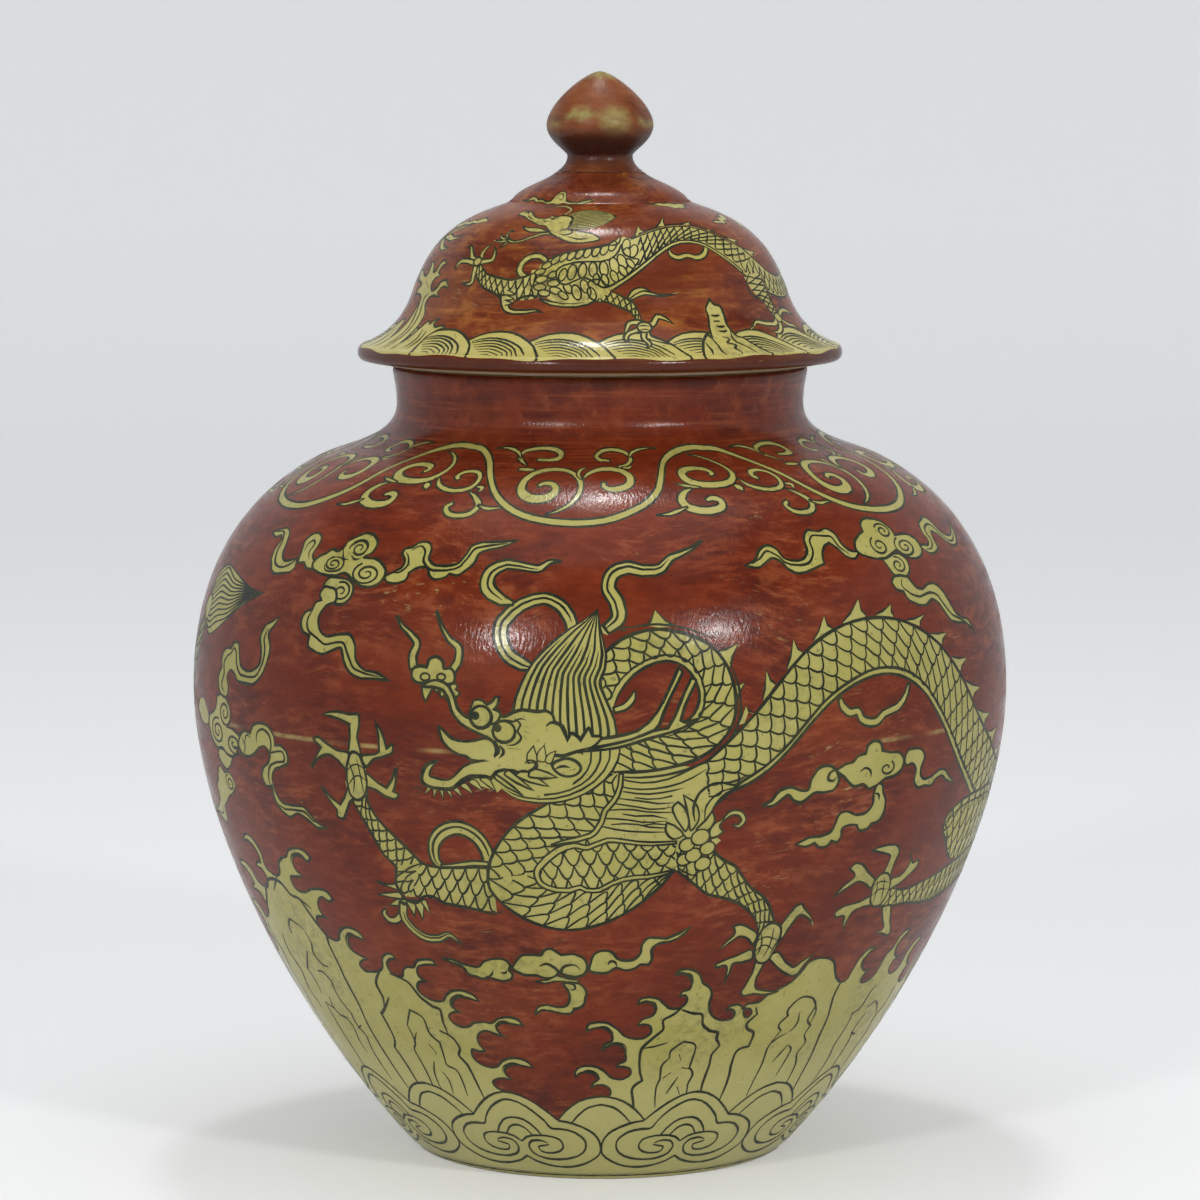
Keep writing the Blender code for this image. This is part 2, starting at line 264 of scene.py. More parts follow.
def wheel_tree():
    """The potter's wheel turns a profile round the axis into a closed skin, mapped by turn and way along."""
    tree = bpy.data.node_groups.new("wheel", "GeometryNodeTree")
    rows = (("First Row Of Inside", "Int"), ("First Row Of Base", "Int"), ("Last Bare Row", "Int"))
    coats = (("Outside", "Material"), ("Inside", "Material"), ("Bare", "Material"))
    ins = (("Profile", "Geometry"), ("Turnings", "Int"), *rows, *coats)
    entry, leave = sockets(tree, ins, (("Geometry", "Geometry"),))
    node, reckon = hands(tree)
    line = node("GeometryNodeMeshToCurve", {"Mesh": entry.outputs["Profile"]})
    size = node("GeometryNodeAttributeDomainSize", {"Geometry": line}, component="CURVE")
    size = size.outputs["Point Count"]
    columns = reckon("ADD", entry.outputs["Turnings"], 1.0)
    grid = node("GeometryNodeMeshGrid", {"Vertices X": columns, "Vertices Y": size}).outputs["Mesh"]
    index = node("GeometryNodeInputIndex")
    column = reckon("FLOOR", reckon("DIVIDE", reckon("ADD", index, 0.5), size))
    row = reckon("SUBTRACT", index, reckon("MULTIPLY", column, size))
    angle = reckon("MULTIPLY", reckon("DIVIDE", column, entry.outputs["Turnings"]), math.tau)
    place = node("GeometryNodeInputPosition")
    way = node("GeometryNodeSplineParameter").outputs["Length"]
    feeds = {"Geometry": line, "Value": place, "Index": row}
    point = node("GeometryNodeSampleIndex", feeds, data_type="FLOAT_VECTOR")
    reach = node("GeometryNodeSampleIndex", {**feeds, "Value": way}, data_type="FLOAT")
    apart = node("ShaderNodeSeparateXYZ", {0: point})
    chart = node("ShaderNodeCombineXYZ", {0: angle, 1: reach})
    chart = node("GeometryNodeFieldOnDomain", {"Value": chart}, data_type="FLOAT_VECTOR", domain="POINT")
    kept = {"Geometry": grid, "Name": "chart", "Value": chart}
    mapped = node("GeometryNodeStoreNamedAttribute", kept, data_type="FLOAT2", domain="CORNER")
    side = reckon("MULTIPLY", apart.outputs[0], reckon("SINE", angle))
    back = reckon("MULTIPLY", apart.outputs[0], reckon("MULTIPLY", reckon("COSINE", angle), -1.0))
    turned = node("ShaderNodeCombineXYZ", {0: side, 1: back, 2: apart.outputs[2]})
    kept = {"Geometry": mapped, "Name": "row", "Value": row}
    rowed = node("GeometryNodeStoreNamedAttribute", kept, data_type="FLOAT", domain="POINT")
    skin = node("GeometryNodeSetPosition", {"Geometry": rowed, "Position": turned})
    row_of = node("GeometryNodeInputNamedAttribute", {"Name": "row"}, data_type="FLOAT").outputs["Attribute"]
    face_row = node("GeometryNodeFieldOnDomain", {"Value": row_of}, data_type="FLOAT", domain="FACE")
    past = reckon("GREATER_THAN", face_row, entry.outputs["First Row Of Inside"])
    low = reckon("GREATER_THAN", face_row, entry.outputs["First Row Of Base"])
    bare = reckon("MULTIPLY", low, reckon("LESS_THAN", face_row, entry.outputs["Last Bare Row"]))
    for coat, rows_of_coat in (("Outside", True), ("Inside", past), ("Bare", bare)):
        feeds = {"Geometry": skin, "Selection": rows_of_coat, "Material": entry.outputs[coat]}
        skin = node("GeometryNodeSetMaterial", feeds)
    skin = node("GeometryNodeSetShadeSmooth", {"Geometry": skin})
    skin = node("GeometryNodeMergeByDistance", {"Geometry": skin, "Distance": SEAM_GAP * MM})
    skin = node("GeometryNodeRemoveAttribute", {"Geometry": skin, "Name": "row"})
    skin = node("GeometryNodeRealizeInstances", {"Geometry": skin})
    tree.links.new(skin, leave.inputs["Geometry"])
    return tree


def made_by(tree, name, mesh, **values):
    """A piece as a tree makes it, with the tree's inputs set by name, as a plain mesh at the origin."""
    piece = bpy.data.objects.new(name, mesh)
    bpy.context.scene.collection.objects.link(piece)
    maker = piece.modifiers.new("maker", "NODES")
    maker.node_group = tree
    for socket in tree.interface.items_tree:
        key = socket.name.lower().replace(" ", "_")
        if socket.in_out == "INPUT" and key in values:
            maker[socket.identifier] = values[key]
    plain = bpy.data.meshes.new_from_object(piece.evaluated_get(bpy.context.evaluated_depsgraph_get()))
    piece.modifiers.remove(maker)
    piece.data = plain
    plain.name = name
    bpy.data.meshes.remove(mesh)
    return piece


def round_way(node, reckon, entry):
    """The place on the pot as a point on a straight drum, so that a pattern runs round it without a seam."""
    apart = node("ShaderNodeSeparateXYZ", {0: entry.outputs["Place"]})
    angle = reckon("MULTIPLY", apart.outputs[0], entry.outputs["Turn Per Step"])
    side = reckon("MULTIPLY", reckon("COSINE", angle), entry.outputs["Drum Radius"])
    back = reckon("MULTIPLY", reckon("SINE", angle), entry.outputs["Drum Radius"])
    return node("ShaderNodeCombineXYZ", {0: side, 1: back, 2: apart.outputs[1]})


def cloud(node, way, round_scale, up_scale, detail=2.0, rough=0.5):
    """Soft noise with its own scale round the pot and up its wall, turned so that its grid can't be seen."""
    feeds = {"Vector": way, "Rotation": (0.6, 0.35, 0.8), "Scale": (round_scale, round_scale, up_scale)}
    spread = node("ShaderNodeMapping", feeds)
    feeds = {"Vector": spread, "Scale": 1.0, "Detail": detail, "Roughness": rough}
    return node("ShaderNodeTexNoise", feeds).outputs[0]


def graded(node, value, low, high, floor=0.0, ceiling=1.0):
    """A value brought smoothly from one range to another."""
    feeds = {0: value, 1: low, 2: high, 3: floor, 4: ceiling}
    return node("ShaderNodeMapRange", feeds, interpolation_type="SMOOTHSTEP").outputs[0]


def blended(node, share, one, two):
    """One colour mixed with another."""
    return node("ShaderNodeMix", {0: share, 6: one, 7: two}, data_type="RGBA").outputs[2]


PLACE_SOCKETS = (("Place", "Vector"), ("Turn Per Step", "Float"), ("Drum Radius", "Float"))


def thrown_surface_group():
    """The relief of a glazed pot: rings left by the fingers, the glaze's soft orange peel, and pinholes."""
    tree = bpy.data.node_groups.new("thrown_surface", "ShaderNodeTree")
    amounts = [(amount, "Float") for amount in ("Rings", "Peel", "Pits", "Dull", "Dull Spread")]
    entry, leave = sockets(tree, (*PLACE_SOCKETS, *amounts), (("Height", "Float"), ("Roughness", "Float")))
    node, reckon = hands(tree)
    way = round_way(node, reckon, entry)
    rings = reckon("MULTIPLY", cloud(node, way, 4.0, 170.0, 1.0), entry.outputs["Rings"])
    peel = reckon("MULTIPLY", cloud(node, way, 1100.0, 480.0, 2.0, 0.6), entry.outputs["Peel"])
    pits = graded(node, cloud(node, way, 520.0, 520.0, 0.0), 0.80, 0.88, 0.0, -1.0)
    pits = reckon("MULTIPLY", pits, entry.outputs["Pits"])
    height = reckon("ADD", reckon("ADD", rings, peel), pits)
    tree.links.new(height, leave.inputs["Height"])
    patches = graded(node, cloud(node, way, 45.0, 130.0, 4.0, 0.6), 0.35, 0.75)
    dull = reckon("ADD", entry.outputs["Dull"], reckon("MULTIPLY", patches, entry.outputs["Dull Spread"]))
    tree.links.new(dull, leave.inputs["Roughness"])
    return tree


def stained_glaze_group():
    """The colour of one glaze: thick and thin places, a grimy stain in patches, and fine dark specks."""
    tree = bpy.data.node_groups.new("stained_glaze", "ShaderNodeTree")
    inks = (("Thick", "Color"), ("Thin", "Color"), ("Grime", "Color"), ("Grime Share", "Float"))
    entry, leave = sockets(tree, (*PLACE_SOCKETS, *inks), (("Color", "Color"),))
    node, reckon = hands(tree)
    way = round_way(node, reckon, entry)
    depth = graded(node, cloud(node, way, 55.0, 80.0, 5.0, 0.65), 0.32, 0.68)
    colour = blended(node, depth, entry.outputs["Thin"], entry.outputs["Thick"])
    patches = graded(node, cloud(node, way, 26.0, 30.0, 2.0), 0.46, 0.66)
    grit = graded(node, cloud(node, way, 380.0, 460.0, 3.0, 0.7), 0.40, 0.70)
    grime = reckon("MULTIPLY", reckon("MULTIPLY", patches, grit), entry.outputs["Grime Share"])
    specks = reckon("MULTIPLY", graded(node, cloud(node, way, 700.0, 700.0, 0.0), 0.74, 0.80), 0.5)
    colour = blended(node, reckon("MAXIMUM", grime, specks), colour, entry.outputs["Grime"])
    tree.links.new(colour, leave.inputs["Color"])
    return tree


GLEAM = 0.3
GLANCING = (0.45, 0.85)
GLANCING_SHARE = 0.2


def ware(name, surface, colour_group, **inks):
    """A material of the pot: a colour group and the relief, on a map that says how far one step turns."""
    material = bpy.data.materials.new(name)
    material.use_nodes = True
    node, reckon = hands(material.node_tree)
    shader = material.node_tree.nodes["Principled BSDF"]
    chart = node("ShaderNodeUVMap", uv_map="chart")
    place = {"Place": chart, "Turn Per Step": surface["step"], "Drum Radius": surface["drum"]}
    amounts = {
        "Rings": surface["rings"], "Peel": surface["peel"], "Pits": surface["pits"],
        "Dull": surface["dull"], "Dull Spread": surface["spread"],
    }
    facing = node("ShaderNodeLayerWeight").outputs["Facing"]
    gleam = surface.get("gleam", GLEAM)
    gleam = graded(node, facing, *GLANCING, gleam, GLANCING_SHARE * gleam)
    material.node_tree.links.new(gleam, shader.inputs["Specular IOR Level"])
    relief = node("ShaderNodeGroup", node_tree=thrown_surface)
    paint = node("ShaderNodeGroup", node_tree=colour_group)
    for group, values in ((relief, amounts), (paint, inks)):
        for key, value in {**place, **values}.items():
            key = key.replace("_", " ").title()
            if isinstance(value, bpy.types.NodeSocket):
                material.node_tree.links.new(value, group.inputs[key])
            elif isinstance(value, tuple):
                group.inputs[key].default_value = (*value, 1.0)
            else:
                group.inputs[key].default_value = value
    bump = node("ShaderNodeBump", {"Strength": 1.0, "Distance": MM, "Height": relief.outputs["Height"]})
    material.node_tree.links.new(paint.outputs["Color"], shader.inputs["Base Color"])
    material.node_tree.links.new(relief.outputs["Roughness"], shader.inputs["Roughness"])
    material.node_tree.links.new(bump, shader.inputs["Normal"])
    return material, paint


wheel = wheel_tree()
thrown_surface = thrown_surface_group()
stained_glaze = stained_glaze_group()
GLAZED = {
    "step": 1.0, "drum": BELLY[0] * MM, "rings": 0.05, "peel": 0.075, "pits": 0.03,
    "dull": 0.12, "spread": 0.17,
}
YELLOW_THICK = (0.465, 0.420, 0.105)
YELLOW_THIN = (0.53, 0.475, 0.15)
YELLOW_GRIME = (0.17, 0.155, 0.055)
yellow_glaze = ware(
    "yellow_glaze", GLAZED, stained_glaze,
    thick=YELLOW_THICK, thin=YELLOW_THIN, grime=YELLOW_GRIME, grime_share=0.5,
)[0]

# The glaze is paler and cleaner on the lower wall, and dirt has gathered at the foot's edge.
CLEAN_FROM = 110.0 * MM
CLEAN_TO = 84.0 * MM
CLEAN_SHARE = 0.85
CLEAN_YELLOW = (0.63, 0.58, 0.22, 1.0)
DIRT_TOP = 5.0 * MM
DIRT_FULL = 1.0 * MM
DIRT_SHARE = 0.7
DIRT_COLOUR = (0.24, 0.21, 0.13, 1.0)
node, reckon = hands(yellow_glaze.node_tree)
up = node("ShaderNodeSeparateXYZ", {0: node("ShaderNodeUVMap", uv_map="chart")}).outputs[1]
shader = yellow_glaze.node_tree.nodes["Principled BSDF"]
glaze_colour = shader.inputs["Base Color"].links[0].from_socket
paler = blended(node, graded(node, up, CLEAN_FROM, CLEAN_TO, 0.0, CLEAN_SHARE), glaze_colour, CLEAN_YELLOW)
low = graded(node, up, DIRT_TOP, DIRT_FULL, 0.0, DIRT_SHARE)
on_piece = node("ShaderNodeTexCoord").outputs["Object"]
broken = graded(node, cloud(node, on_piece, 60.0, 60.0, 3.0, 0.6), 0.3, 0.6, 0.4, 1.0)
stained = blended(node, reckon("MULTIPLY", low, broken), paler, DIRT_COLOUR)
yellow_glaze.node_tree.links.new(stained, shader.inputs["Base Color"])

# Inside, the glaze is pale and thin. The foot ring and other bare places show the fired body.
pale_glaze = ware(
    "pale_glaze", GLAZED, stained_glaze,
    thick=(0.56, 0.57, 0.50), thin=(0.66, 0.66, 0.60), grime=(0.30, 0.26, 0.18), grime_share=0.4,
)[0]
BISCUIT = {**GLAZED, "rings": 0.10, "peel": 0.05, "dull": 0.62, "spread": 0.2}
bare_porcelain = ware(
    "bare_porcelain", BISCUIT, stained_glaze,
    thick=(0.52, 0.41, 0.30), thin=(0.60, 0.53, 0.45), grime=(0.20, 0.14, 0.09), grime_share=0.7,
)[0]

# The closed line of the jar's wall, from the middle of its base up the outside and down the inside.
lip_inside = at(LIP[0] - JAR_WALL + UNDER, JAR_HEIGHT - LIP_ROUND)
jar_hollow = [point for point in moved_in(jar_outside, JAR_WALL) if FLOOR + 10.0 < point.z < LIP[1] - 1.0]
foot_edge = FOOT[0] - UNDER
ring_inside = FOOT[0] - FOOT_RING
recess_edge = ring_inside - 1.9
recess_side = (recess_edge + 0.3, FOOT_RECESS - 0.7)
jar_base = run_together(
    rounded((foot_edge + 0.35, FOOT_ROUND), (foot_edge, 0.0), (FOOT[0] - FOOT_ROUND, 0.0)),
    rounded((ring_inside + 1.0, 0.0), (ring_inside, 0.0), (ring_inside - 0.5, 1.2)),
    rounded(recess_side, (recess_edge, FOOT_RECESS), (recess_edge - 2.1, FOOT_RECESS)),
    [at(radius, FOOT_RECESS + 0.2) for radius in (30.0, 15.0, 0.0)],
)
lowest = jar_hollow[-1]
jar_floor = run_together(
    rounded((lowest.x, lowest.z), (lowest.x - 6.0, FLOOR), (lowest.x - 16.0, FLOOR), 12),
    [at(20.0, FLOOR - 0.6), at(10.0, FLOOR - 1.1), at(0.0, FLOOR - 1.3)],
)
jar_side = [point for point in jar_outside if point.z > FOOT_ROUND + 0.3]
jar_top = run_together(
    rounded((LIP[0] - UNDER, LIP[1]), (LIP[0] - UNDER, JAR_HEIGHT), (LIP[0] - LIP_ROUND, JAR_HEIGHT)),
    rounded((lip_inside.x + LIP_ROUND, JAR_HEIGHT), (lip_inside.x, JAR_HEIGHT), (lip_inside.x, LIP[1])),
)
inside_down = jar_top + jar_hollow + jar_floor
jar_wall_line = run_together(reversed(jar_outside), jar_top[:5])
outside_up = list(reversed(jar_side + jar_base))
jar_line = run_together(outside_up, inside_down)
jar_body = made_by(
    wheel, "jar_body", line_mesh("jar_profile", jar_line), turnings=TURNINGS,
    first_row_of_inside=len(outside_up) + 6, first_row_of_base=3, last_bare_row=len(jar_base) - 4,
    outside=yellow_glaze, inside=pale_glaze, bare=bare_porcelain,
)
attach(jar_body, "jar")
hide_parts("jar_lower_body", "jar_upper_body", "jar_neck")


# The painting on the jar. It is drawn flat first, in millimetres round the jar from its front and up its
# wall. A figure left in yellow is cut out of the red ground and drawn round with a black line, and what is
# painted later lies over what is there. The points are placed by eye after the photograph.
RED, YELLOW, BLACK = 0, 1, 2
POINT_GAP = 0.9
LEAST_TURN = math.radians(8)
LONGEST_STEP = 4.0
SOONEST_AGAIN = 0.15
SWELL_SHARE = 0.35
EDGE_POINTS = 40
BODY_POINTS = 120
SCALE_POINTS = 9
SPOT_SIDES = 14
CURL_POINTS = 18
TINY = 1e-9
brush_share = 1.02


def read_points(text):
    """Points written as x,y or x,y,width in millimetres; a star after one makes it a corner."""
    words = text.split()
    points = [np.array([float(number) for number in word.rstrip("*").split(",")]) for word in words]
    return points, [word.endswith("*") for word in words]


def each(stroke, chart, texts, *how, **more):
    """The same kind of stroke from each of the texts, which have slashes between them."""
    for text in texts.split("/"):
        stroke(chart, text, *how, **more)


def apart(one, other):
    """The root of the distance between two points, by which a smooth line shares out its bends."""
    return math.sqrt(max(np.linalg.norm((other - one)[:2]), 0.01))


def smooth(text, closed=False, in_spans=False):
    """A smooth line through the points, as close together as its bends ask."""
    points, corners = read_points(text)
    count = len(points)
    spans = []
    for index in range(count if closed else count - 1):
        start = points[index]
        end = points[(index + 1) % count]
        before = points[index - 1] if (closed or index) and not corners[index] else None
        follows = closed or index + 2 < count
        after = points[(index + 2) % count] if follows and not corners[(index + 1) % count] else None
        gap = apart(start, end)
        leave = arrive = None
        if before is not None:
            early = apart(before, start)
            leave = ((start - before) / early - (end - before) / (early + gap) + (end - start) / gap) * gap
        if after is not None:
            late = apart(end, after)
            arrive = ((end - start) / gap - (after - start) / (gap + late) + (after - end) / late) * gap
        if leave is None:
            leave = 1.5 * (end - start) - 0.5 * arrive if arrive is not None else end - start
        if arrive is None:
            arrive = 1.5 * (end - start) - 0.5 * leave
        steps = max(2, math.ceil(gap * gap / POINT_GAP))
        spans.append([])
        for step in range(steps):
            share = step / steps
            cube, square = share ** 3, share ** 2
            spans[-1].append(
                (2 * cube - 3 * square + 1) * start + (cube - 2 * square + share) * leave
                + (3 * square - 2 * cube) * end + (cube - square) * arrive
            )
    if in_spans:
        return spans
    line = [point for span in spans for point in span]
    if not closed:
        line.append(points[-1])
    return thinned(np.array(line))


def thinned(line):
    """The same line without the points that its bends don't need."""
    kept = [0]
    for index in range(1, len(line) - 1):
        run = line[index] - line[kept[-1]]
        onward = line[index + 1] - line[index]
        across = run[0] * onward[1] - run[1] * onward[0]
        turn = abs(math.atan2(across, run[0] * onward[0] + run[1] * onward[1]))
        if turn > LEAST_TURN or np.hypot(run[0] + onward[0], run[1] + onward[1]) > LONGEST_STEP:
            kept.append(index)
    kept.append(len(line) - 1)
    return line[kept]


def sides(line, half, closed=False):
    """The two edges of a line with these half widths."""
    if closed:
        ahead = np.roll(line, -1, axis=0) - line
        behind = line - np.roll(line, 1, axis=0)
    else:
        ahead = np.vstack([line[1:] - line[:-1], line[-1:] - line[-2:-1]])
        behind = np.vstack([line[1:2] - line[:1], line[1:] - line[:-1]])
    ahead = ahead / np.maximum(np.linalg.norm(ahead, axis=1, keepdims=True), TINY)
    behind = behind / np.maximum(np.linalg.norm(behind, axis=1, keepdims=True), TINY)
    along = ahead + behind
    size = np.linalg.norm(along, axis=1, keepdims=True)
    along = np.where(size < 0.3, ahead, along / np.maximum(size, TINY))
    reach = (half / np.clip(size[:, 0] / 2, 0.6, 1.0))[:, None]
    across = np.stack([-along[:, 1], along[:, 0]], axis=1) * reach
    return line + across, line - across


def lengths(line):
    """How far along the line each point lies."""
    return np.concatenate([[0.0], np.cumsum(np.linalg.norm(line[1:] - line[:-1], axis=1))])


def ink(chart, line, width=0.75, ends=(0.35, 0.15), closed=False, fade=5.0):
    """One brush line. It starts thin, swells, and runs out to a point."""
    if isinstance(line, str):
        line = smooth(line, closed)
    line = line[:, :2]
    run = lengths(line)
    total = max(run[-1], 0.01)
    pressure = 1.0 + 0.13 * np.sin(run * 0.31 + line[0, 0]) + 0.07 * np.sin(run * 0.83 + line[0, 1])
    if not closed:
        swell = min(fade, total * SWELL_SHARE)
        pressure *= ends[0] + (1 - ends[0]) * np.clip(run / swell, 0, 1) ** 0.7
        pressure *= ends[1] + (1 - ends[1]) * np.clip((total - run) / swell, 0, 1) ** 0.7
    left, right = sides(line, width * brush_share * pressure / 2, closed)
    if closed:
        left, right = np.vstack([left, left[:1]]), np.vstack([right, right[:1]])
    chart.append((BLACK, "strip", left, right))


def reserve(chart, outline, width=0.75):
    """A figure left in yellow, with its outline drawn round it."""
    line = smooth(outline, True)
    chart.append((YELLOW, "fill", line[:, :2], None))
    if width:
        ink(chart, line, width, closed=True)


def ribbon(chart, spine, width=0.7, inner=(), start_open=False):
    """A tapering yellow ribbon, drawn from its spine, with lines that run along inside it."""
    line = smooth(spine)
    left, right = sides(line[:, :2], line[:, 2] / 2)
    chart.append((YELLOW, "strip", left, right))
    if start_open:
        ink(chart, left, width, (1.0, 0.4))
        ink(chart, right, width, (1.0, 0.4))
    else:
        ink(chart, without_doubles(np.vstack([left, right[::-1]])), width, closed=True)
    for share, begin, finish in inner:
        part = line[int(begin * (len(line) - 1)):int(finish * (len(line) - 1)) + 1]
        if len(part) > 2:
            ink(chart, sides(part[:, :2], part[:, 2] / 2 * share)[0], width * 0.85)


def without_doubles(line):
    """The line without points that fall on the one before."""
    kept = [0]
    for index in range(1, len(line)):
        if np.linalg.norm(line[index] - line[kept[-1]]) > SOONEST_AGAIN:
            kept.append(index)
    if np.linalg.norm(line[kept[-1]] - line[0]) < SOONEST_AGAIN:
        kept.pop()
    return line[kept]


def resampled(line, count):
    """The line as this many points at even distances."""
    run = lengths(line[:, :2])
    places = np.linspace(0, run[-1], count)
    return np.stack([np.interp(places, run, line[:, axis]) for axis in range(line.shape[1])], axis=1)


def strands(chart, one, other, count, width=0.6, ends=(0.6, 0.2), fade=5.0, short=1.0, wave=0.0):
    """Hair or a tuft: lines spread evenly between two edges, where every second one may stop short."""
    first = resampled(smooth(one), EDGE_POINTS)
    last = resampled(smooth(other), EDGE_POINTS)
    chart.append((YELLOW, "strip", first, last))
    sway = np.sin(np.linspace(0, 2.2 * math.tau, EDGE_POINTS))[:, None] * wave / count
    for index in range(count + 1):
        line = first + (last - first) * (index / count + sway * min(index, count - index, 1))
        inner = index % 2 and 0 < index < count
        ink(chart, thinned(line[:int(EDGE_POINTS * short)] if inner else line), width, ends, fade=fade)


def paired(edges, count):
    """Two edges as this many points each, matched by the points that they are drawn from."""
    pair = []
    for edge in edges:
        spans = smooth(edge, in_spans=True)
        steps = np.concatenate([np.full(len(span), 1 / len(span)) for span in spans])
        line = np.vstack(spans + [[read_points(edge)[0][-1]]])
        run = np.concatenate([[0.0], np.cumsum(steps)]) / len(spans)
        places = np.linspace(0, 1, count)
        pair.append(np.stack([np.interp(places, run, line[:, axis]) for axis in (0, 1)], axis=1))
    return pair


def scaly(chart, back, belly, rows, pitch, width=0.56, lean=0.25, gap=(0.0, 0.0)):
    """A stretch of the body from its back line to its belly line: rows of scales that hang to the belly."""
    if len(back.split()) == len(belly.split()):
        upper, lower = paired((back, belly), BODY_POINTS)
    else:
        upper, lower = resampled(smooth(back), BODY_POINTS), resampled(smooth(belly), BODY_POINTS)
    chart.append((YELLOW, "strip", upper, lower))
    reach = lengths((upper + lower) / 2)
    columns = max(2, round(reach[-1] / pitch))
    pitch = reach[-1] / columns
    sweep = np.linspace(-1, 1, SCALE_POINTS)
    hang = 1 - np.abs(sweep) ** 2.2
    steps = np.arange(BODY_POINTS)
    for row in range(rows):
        for column in range(-1, columns + 1):
            along = (column + 0.5 * (row % 2) + 0.5 + 0.5 * sweep + lean * (hang + row)) * pitch
            across = gap[0] + (1 - gap[0] - gap[1]) * (row + hang) / rows
            inside = (along >= 0) & (along <= reach[-1]) & (across <= 1 - gap[1] + 0.01)
            if inside.sum() < 3:
                continue
            place = np.interp(along[inside], reach, steps)
            high, low = (np.stack([np.interp(place, steps, edge[:, axis]) for axis in (0, 1)], axis=1)
                         for edge in (upper, lower))
            ink(chart, high + (low - high) * across[inside][:, None], width, (0.8, 0.8))


def fin(chart, text, width=0.6):
    """One spine of the dragon's back, from its base on the back line by its tip to its end."""
    base, tip, end = read_points(text)[0]
    middle = (base + end) / 2
    outline = np.array([base, base * 0.5 + tip * 0.35 + middle * 0.15, tip,
                        end * 0.45 + tip * 0.35 + middle * 0.2, end])
    chart.append((YELLOW, "fill", outline, None))
    ink(chart, outline[:3], width, (0.8, 0.2))
    ink(chart, outline[2:], width, (0.2, 0.8))


def spot(chart, text, colour=BLACK, squash=1.0, width=0.0, tilt=0.0):
    """A round or oval spot, from its place, its radius and, where it has its own, its tilt."""
    x, y, radius, *own_tilt = read_points(text)[0][0]
    tilt = own_tilt[0] if own_tilt else tilt
    turn = np.linspace(0, math.tau, SPOT_SIDES + 1)[:-1]
    across, up = np.cos(turn) * radius, np.sin(turn) * radius * squash
    line = np.stack([x + across * math.cos(tilt) - up * math.sin(tilt),
                     y + across * math.sin(tilt) + up * math.cos(tilt)], axis=1)
    chart.append((colour, "fill", line, None))
    if width:
        ink(chart, line, width, closed=True)


def curl(chart, x, y, reach, turns, start, width=0.65, squash=1.0, end=0.6):
    """A curl, from its outer end in. A negative number of turns winds it clockwise."""
    share = np.linspace(0, 1, max(10, int(abs(turns) * CURL_POINTS)))
    radius = reach + (end - reach) * share
    angle = math.radians(start) + turns * math.tau * share
    line = np.stack([x + radius * np.cos(angle), y + radius * np.sin(angle) * squash], axis=1)
    ink(chart, line, width, (0.8, 0.5))


# The enamels, fired on over the glaze. What overlaps on the flat painting is cut along its borders, so
# each bit belongs to what was painted there last. Two thin skins are then wrapped on the glazed wall:
# the red ground, brushed on in thick and thin strokes and rubbed through in places, and the black line.
SKIN = 0.05
CUT_CLOSE = 0.001
GIRTH = math.tau * BELLY[0]


def repeated(chart, start, pitch, count, rise=0.0):
    """The same strokes painted again and again round the pot."""
    strokes = []
    for turn in range(count):
        move = np.array([start + turn * pitch, rise])
        for colour, kind, one, other in chart:
            strokes.append((colour, kind, one[:, :2] + move, None if other is None else other[:, :2] + move))
    return strokes


def levels(*stretches):
    """Heights of rows, for stretches given as their bottom, their top and how far apart their rows lie."""
    heights = []
    for low, high, apart in stretches:
        count = max(1, round((high - low) / apart))
        heights += [low + (high - low) * step / count for step in range(count)]
    return heights + [stretches[-1][1]]


def gathered(chart, left, right, heights, spacing):
    """The points and edges of an even net and of the strokes on it, and each stroke's outline and bounds."""
    points, edges, shapes = [], [], []
    bottom, top = heights[0], heights[-1]
    columns = max(2, round((right - left) / spacing))
    for row, height in enumerate(heights):
        start = len(points)
        points.append((left, height))
        for column in range(1, columns + row % 2):
            points.append((left + (right - left) * (column - row % 2 / 2) / columns, height))
        points.append((right, height))
        if row:
            edges += [(below, start), (below_end, len(points) - 1)]
        if row in (0, len(heights) - 1):
            edges += [(step, step + 1) for step in range(start, len(points) - 1)]
        below, below_end = start, len(points) - 1
    for colour, kind, one, other in chart:
        outline = one if other is None else np.vstack([one, other[::-1]])
        for shift in (left - right, 0.0, right - left):
            here = outline + np.array([shift, 0.0])
            low, high = here.min(axis=0), here.max(axis=0)
            if high[0] < left or low[0] > right or high[1] < bottom or low[1] > top:
                continue
            shapes.append((colour, here, low, high))
            if kind != "fill" or colour == BLACK:
                start = len(points)
                points.extend(map(tuple, here.tolist()))
                count = len(here)
                edges += [(start + step, start + (step + 1) % count) for step in range(count)]
    return points, edges, shapes


